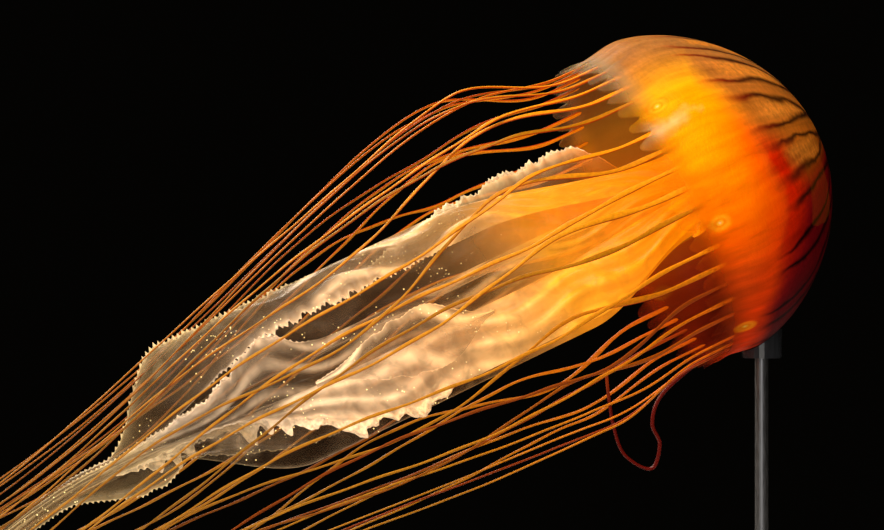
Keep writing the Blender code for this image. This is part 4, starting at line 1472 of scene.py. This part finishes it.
def crest_arm() -> tuple[Veil, ...]:
    """The arm that rides highest: two veils under one smooth crest."""
    crest = EdgeLine((26, 12), (52, -5), (5, -3), full_by=120, full_to=295, ends=350)
    lip = EdgeLine((12, 20), (32, 18), (1, 4), full_by=100, full_to=225, ends=345)
    hem = EdgeLine((5, 10), (8, 6), (-2, 0), full_to=260)
    return (
        Veil(crest, lip, 440, milk=0.85, milky_to=195, bulge=2.5, folds=1.2, salt=0.4,
             tooth_length=2.6, even=0.35,
             upper_frill=Frilling(0.55, 190, 225), lower_frill=Frilling(0.9, 100, 190, 220, 300)),
        Veil(crest, hem, 440, milk=0.14, bulge=-2.0, folds=1.6, fold_depth=1.2, salt=2.1,
             tooth_length=2.0, upper_frill=Frilling(0.5, 200, 240)))


def front_arm() -> tuple[Veil, ...]:
    """The near arm: two veils, the thickest frill and a creased flap."""
    top = EdgeLine((15, 20), (15, 28), (3, 3), full_to=250, swell=15, swell_at=245)
    middle = EdgeLine((0, 22), (-8, 20), (-1, 5), full_to=200)
    low = EdgeLine((-19, 25), (-42, 30), (-5, 3), full_by=60, full_to=180, ends=290)
    flap_top = EdgeLine((-12, 33), (8, 41), (-5, 34), 115, 155, 165, 225)
    flap_low = EdgeLine((-14, 32), (-28, 38), (-9, 33), 115, 150, 160, 225)
    return (
        Veil(top, middle, 500, milk=0.62, even=0.2, bulge=3.0, salt=1.1,
             upper_frill=Frilling(0.9, 210, 240)),
        Veil(middle, low, 500, milk=0.95, even=0.7, milky_to=235, bulge=4.0, folds=2.6,
             salt=3.2, ruffle_width=6.5, tooth_length=0.3, fold_depth=1.2,
             lower_frill=Frilling(1.0, 130, 170)),
        Veil(flap_top, flap_low, 225, milk=1.0, bulge=4.0, folds=1.0, salt=0.9, tooth_length=0.4,
             upper_frill=Frilling(0.6, 110, 150), lower_frill=Frilling(0.6, 130, 170)))


def keel_arm() -> tuple[Veil, ...]:
    """The lowest arm: a clear veil with a smooth edge, one behind it and a tail piece."""
    keel = EdgeLine((-8, 10), (-8, 4), (-1, 1), full_to=240)
    low = EdgeLine((-24, 2), (-48, 5), (-7, -1), full_by=60, full_to=240, ends=330)
    far = EdgeLine((-26, -12), (-40, -35), (-4, -5), full_by=60, full_to=220)
    tail_top = EdgeLine((-12, 3), (-5, 2), (-3, 1), 300, 340, 350, 430)
    tail_low = EdgeLine((-13, 3), (-22, 2), (-8, 1), 300, 325, 335, 385)
    return (
        Veil(keel, low, 465, milk=0.12, bulge=3.0, folds=1.3, fold_depth=1.0, salt=4.4),
        Veil(keel, far, 465, milk=0.10, bulge=3.0, salt=5.2, lower_frill=Frilling(0.35)),
        Veil(tail_top, tail_low, 430, milk=0.2, bulge=1.0, folds=1.0, salt=2.9,
             lower_frill=Frilling(0.6, 300, 325, 370, 430)))


def far_arm() -> tuple[Veil, ...]:
    """The arm on the far side: two veils either side of its rib."""
    top = EdgeLine((13, -26), (55, -30), (3, -5), full_by=20, full_to=60, ends=370)
    rib = EdgeLine((6, -20), (8, -16), (0, -4), full_to=150, ends=400)
    low = EdgeLine((-8, -22), (-18, -45), (-4, -7), full_by=60, full_to=180, ends=370)
    return (
        Veil(top, rib, 520, milk=0.08, bulge=4.0, salt=0.2,
             upper_frill=Frilling(0.9, -10, 20, 110, 220)),
        Veil(rib, low, 520, milk=0.08, bulge=4.0, salt=3.7, lower_frill=Frilling(0.35)))


def band_directions(middle: Array, turn: Array) -> tuple[Array, Array]:
    """Directions of a band that lies flat around the swimming axis.

    Args:
        middle: Points of the band's middle line.
        turn: Their angles around the axis in degrees.

    Returns:
        Directions across the band and off its face, square to its run.
    """
    across = np.stack([-np.sin(np.radians(turn)), np.cos(np.radians(turn)), 0.0 * turn], -1)
    forward = np.gradient(middle, axis=0)
    forward /= np.linalg.norm(forward, axis=1, keepdims=True)
    side = across - forward * np.sum(across * forward, axis=1, keepdims=True)
    side /= np.linalg.norm(side, axis=1, keepdims=True)
    return side, np.cross(forward, side)


@dataclass
class Tentacles:
    """Forty tentacles, one from each cleft that holds no sense organ."""

    place: Matrix
    stream: Stream
    bell_radius: float = 0.100
    margin_radius: float = 0.097
    root_wall: float = 0.00155
    lappets: int = 48
    per_octant: int = 6
    first_organ: float = 12.5
    shortest: float = 0.52
    spread: float = 0.15
    spacing: float = 1.3
    root_start: float = -0.006
    half_width: tuple[float, float] = (1.5 * MM, 0.5 * MM)
    half_thick: tuple[float, float] = (0.7 * MM, 0.4 * MM)
    taper: float = 0.55
    layers: int = 4
    layer_step: float = 4.4 * MM
    hold: float = 0.014
    release: float = 0.070
    hooked: float = 183.0
    hook_angle: float = 191.5
    hook_route: tuple[tuple[float, float], ...] = (
        (0.020, 0.97), (0.040, 1.04), (0.0500, 1.16), (0.0500, 1.30), (0.0595, 1.425),
        (0.0700, 1.29), (0.0695, 1.10), (0.0640, 0.88), (0.0600, 0.76))
    hook_taper: float = 0.4
    hook_thick: float = 1.25 * MM
    sway: float = 8.5
    sway_length: tuple[float, float] = (0.24, 0.20)
    quiver: float = 0.25
    quiver_length: float = 0.045
    hook_swing: tuple[float, float] = (0.35, 0.4)
    gold_tip: tuple[float, float] = (0.82, 0.14)
    swell: float = 0.20
    swell_length: float = 0.043
    ribbon: float = 0.5
    ribbon_at: tuple[float, float] = (0.045, 0.035)
    rows: int = 150
    sides: int = 10

    def angles(self) -> list[float]:
        """The clefts that hold a tentacle."""
        spacing = 360.0 / self.lappets
        return [self.first_organ + spacing * place for place in range(self.lappets)
                if place % self.per_octant]

    def root_radius(self) -> float:
        """Radius at which a root lies against the inside of the margin."""
        return self.margin_radius - self.root_wall - 0.0003 - self.half_thick[0]

    def trailing(self, number: int, angle: float, s: Array) -> tuple[Array, Array]:
        """Radius and angle of a freely trailing tentacle.

        Args:
            number: Which tentacle it is.
            angle: Its cleft's angle in degrees.
            s: Distances behind the margin.

        Returns:
            Radius and angle in degrees.
        """
        free = ease((s - self.hold) / self.release)
        layer = self.layer_step * (number % self.layers) * ease(s / 0.09)
        radius = self.root_radius() * (1.0 - free) + (self.stream.radius(s) - layer) * free
        length = self.sway_length[0] + self.sway_length[1] * share(number, 1)
        swing = wave(s, length, 2.0 * math.pi * share(number, 2))
        sway = self.sway * (0.5 + 0.5 * share(number, 3)) * ease((s - 0.012) / 0.10)
        quiver = self.quiver * wave(s, self.quiver_length, 2.0 * math.pi * share(number, 5))
        return radius, angle + sway * swing + quiver * ease(s / 0.1)

    def hook(self, angle: float, amount: Array) -> tuple[Array, Array, Array]:
        """Radius, angle and distance along the one tentacle that turns back in a hook.

        Args:
            angle: Its cleft's angle in degrees.
            amount: 0 at the root and 1 at the tip.

        Returns:
            Radius, angle in degrees, and distance behind the margin.
        """
        root = self.root_radius() / self.bell_radius
        knots = np.array([(self.root_start, root), (0.004, root), *self.hook_route])
        spans = len(knots) - 1
        route = np.array([through(knots, spans * a) for a in amount])
        turn = ease((amount - self.hook_swing[0]) / self.hook_swing[1])
        turned = angle + (self.hook_angle - angle) * turn
        return self.bell_radius * route[:, 1], turned, route[:, 0]

    def band(self, number: int, angle: float) -> Sheet:
        """One tentacle as a thin rounded band.

        Args:
            number: Which tentacle it is.
            angle: Its cleft's angle in degrees.

        Returns:
            The band as a closed sheet.
        """
        amount = np.linspace(0.0, 1.0, self.rows)
        length = self.shortest + self.spread * share(number, 4)
        tint, red = share(number, 7), 0.0 * amount
        half_thick = self.half_thick
        taper = amount ** self.taper
        if abs(angle - self.hooked) < 180.0 / self.lappets:
            tint, taper = 0.0, self.hook_taper * taper
            red = 1.0 - 0.9 * ease((amount - self.gold_tip[0]) / self.gold_tip[1])
            half_thick = (self.hook_thick, self.half_thick[1])
            radius, turn, s = self.hook(angle, amount)
            rise = 0.0 * s
        else:
            s = self.root_start + (length - self.root_start) * amount ** self.spacing
            radius, turn = self.trailing(number, angle, s)
            rise = self.stream.rise(s)
        x, y = polar(radius, turn)
        middle = self.stream.point(x + rise, y, s)
        side, face = band_directions(middle, turn)
        wide = self.half_width[0] + (self.half_width[1] - self.half_width[0]) * taper
        thick = half_thick[0] + (half_thick[1] - half_thick[0]) * taper
        swell = wave(s, self.swell_length, 2.0 * math.pi * share(number, 6))
        broad = np.exp(-((s - self.ribbon_at[0]) / self.ribbon_at[1]) ** 2)
        wide = wide * (1.0 + self.swell * swell) * (1.0 + self.ribbon * share(number, 8) * broad)
        round_tip = np.sqrt(np.clip((1.0 - amount) / 0.01, 0.02, 1.0))
        round_root = np.sqrt(np.clip(amount / 0.012, 0.02, 1.0))
        wide, thick = wide * round_tip * round_root, thick * round_tip * round_root
        turns = np.linspace(0.0, 2.0 * math.pi, self.sides, endpoint=False)
        lie = np.cos(turns)
        points = middle[:, None] + side[:, None] * (wide[:, None] * lie)[..., None]
        points = points + face[:, None] * (thick[:, None] * np.sin(turns))[..., None]
        low = ease((-math.cos(math.radians(angle)) - 0.1) / 0.7)
        level = 0.0 * (s[:, None] + lie)
        values = {"run": s[:, None] + level, "lie": lie + level, "low": low + level,
                  "tint": tint + level, "red": red[:, None] + level}
        return Sheet(points, values, closed=True)

    def build(self) -> bpy.types.Object:
        """Makes the tentacles' skin.

        Returns:
            All forty as one object.
        """
        angles = self.angles()
        mesh = mesh_of("tentacle_skin", [self.band(n, angle) for n, angle in enumerate(angles)])
        nodes = [f"tentacle_{n + 1:02d}" for n in range(len(angles))]
        return skin("tentacle_skin", mesh, [TentacleTissue()], nodes, self.place)


# ------------------------------------------------------------------ stand and studio
@dataclass(frozen=True)
class Stand:
    """The plain display stand, whose solids keep their shape and get their finish."""

    finishes: tuple[tuple[str, StandStock], ...] = (
        ("stand_base", StandStock.CAST_ACRYLIC),
        ("stand_rod", StandStock.BRUSHED_STEEL),
        ("stand_saddle", StandStock.SMOKED_ACRYLIC))

    def dress(self, nodes: dict[str, bpy.types.Object]) -> None:
        """Gives each solid of the stand its finish.

        Args:
            nodes: Node names to their objects.
        """
        for name, stock in self.finishes:
            finish = StandFinish(name=stock.name.lower(), stock=stock)
            for place in nodes[name].material_slots:
                place.material = finish.material()
            LOG.info("%s: %s", name, stock.name.lower())


@dataclass(frozen=True)
class Lamp:
    """One soft square lamp: where it hangs, its side in metres, its power in watts, its colour."""

    name: str
    at: tuple[float, float, float]
    side: float
    power: float
    code: str


@dataclass(frozen=True)
class Studio:
    """A pale floor, soft lamps and the camera."""

    floor_half: tuple[float, float] = (1.3, 1.1)
    distance: float = 1.35
    aim: tuple[float, float] = (-0.122, -0.0315)
    width_seen: float = 0.526
    room_code: str = "#15130F"
    room_strength: float = 0.15
    lamp_spread: float = 100.0
    lamps: tuple[Lamp, ...] = (
        Lamp("key_lamp", (-0.55, -0.75, 1.25), 0.7, 7.0, "#FFF4E4"),
        Lamp("back_lamp", (-0.7, 0.9, 0.9), 0.9, 7.5, "#FFF0DC"),
        Lamp("fill_lamp", (-0.2, -1.3, 0.5), 1.0, 2.2, "#FFF8F0"))

    def floor(self) -> None:
        """Lays the floor under the base."""
        size_x, size_y = self.floor_half
        rows, columns = np.meshgrid(np.linspace(-size_y, size_y, 9),
                                    np.linspace(-size_x, size_x, 9), indexing="ij")
        points = np.stack([columns - 0.1, rows, 0.0 * rows - 0.0002], axis=-1)
        mesh = mesh_of("studio_floor", [Sheet(points)])
        mesh.materials.append(FloorFinish().material())
        floor = bpy.data.objects.new("studio_floor", mesh)
        bpy.context.scene.collection.objects.link(floor)
        floor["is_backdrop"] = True

    def light(self, middle: Vector) -> None:
        """Hangs the lamps and dims the room.

        Args:
            middle: The middle of the object, which the lamps face.
        """
        for lamp in self.lamps:
            data = bpy.data.lights.new(lamp.name, "AREA")
            data.size = lamp.side
            data.energy = lamp.power
            data.spread = math.radians(self.lamp_spread)
            data.color = linear(lamp.code)[:3]
            thing = bpy.data.objects.new(lamp.name, data)
            bpy.context.scene.collection.objects.link(thing)
            thing.location = lamp.at
            facing = middle - Vector(lamp.at)
            thing.rotation_euler = facing.to_track_quat("-Z", "Y").to_euler()
        world = bpy.data.worlds.new("dim_room")
        world.use_nodes = True
        background = world.node_tree.nodes["Background"]
        background.inputs["Color"].default_value = linear(self.room_code)
        background.inputs["Strength"].default_value = self.room_strength
        bpy.context.scene.world = world

    def camera(self, centre: tuple[float, float, float]) -> None:
        """Sets the camera level, looking along +Y.

        Args:
            centre: The middle of the bell's margin plane.
        """
        data = bpy.data.cameras.new("camera")
        data.lens = data.sensor_width * self.distance / self.width_seen
        data.clip_start = 0.05
        thing = bpy.data.objects.new("camera", data)
        bpy.context.scene.collection.objects.link(thing)
        thing.location = (centre[0] + self.aim[0], centre[1] - self.distance,
                          centre[2] + self.aim[1])
        thing.rotation_euler = (math.radians(90.0), 0.0, 0.0)
        bpy.context.scene.camera = thing


def main() -> None:
    """Builds every skin, dresses the stand and sets up the studio."""
    logging.basicConfig(level=logging.INFO, format="%(name)s: %(message)s")
    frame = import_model()
    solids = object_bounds()
    scene = bpy.context.scene
    scene.view_settings.view_transform = "Standard"
    scene.cycles.transparent_max_bounces = CLEAR_LAYERS
    placing = BellFrame()
    place = placing.matrix()
    stream = Stream()
    Bell(place).build()
    MouthTube(place).build()
    arms = (crest_arm(), front_arm(), keel_arm(), far_arm())
    for number, veils in enumerate(arms, start=1):
        OralArm(place, stream, number, veils).build()
    Tentacles(place, stream).build()
    Stand().dress(frame["nodes"])
    low, high = solids
    studio = Studio()
    studio.floor()
    studio.light((Vector(low) + Vector(high)) * 0.5)
    studio.camera(placing.centre)


if __name__ == "__main__":
    main()
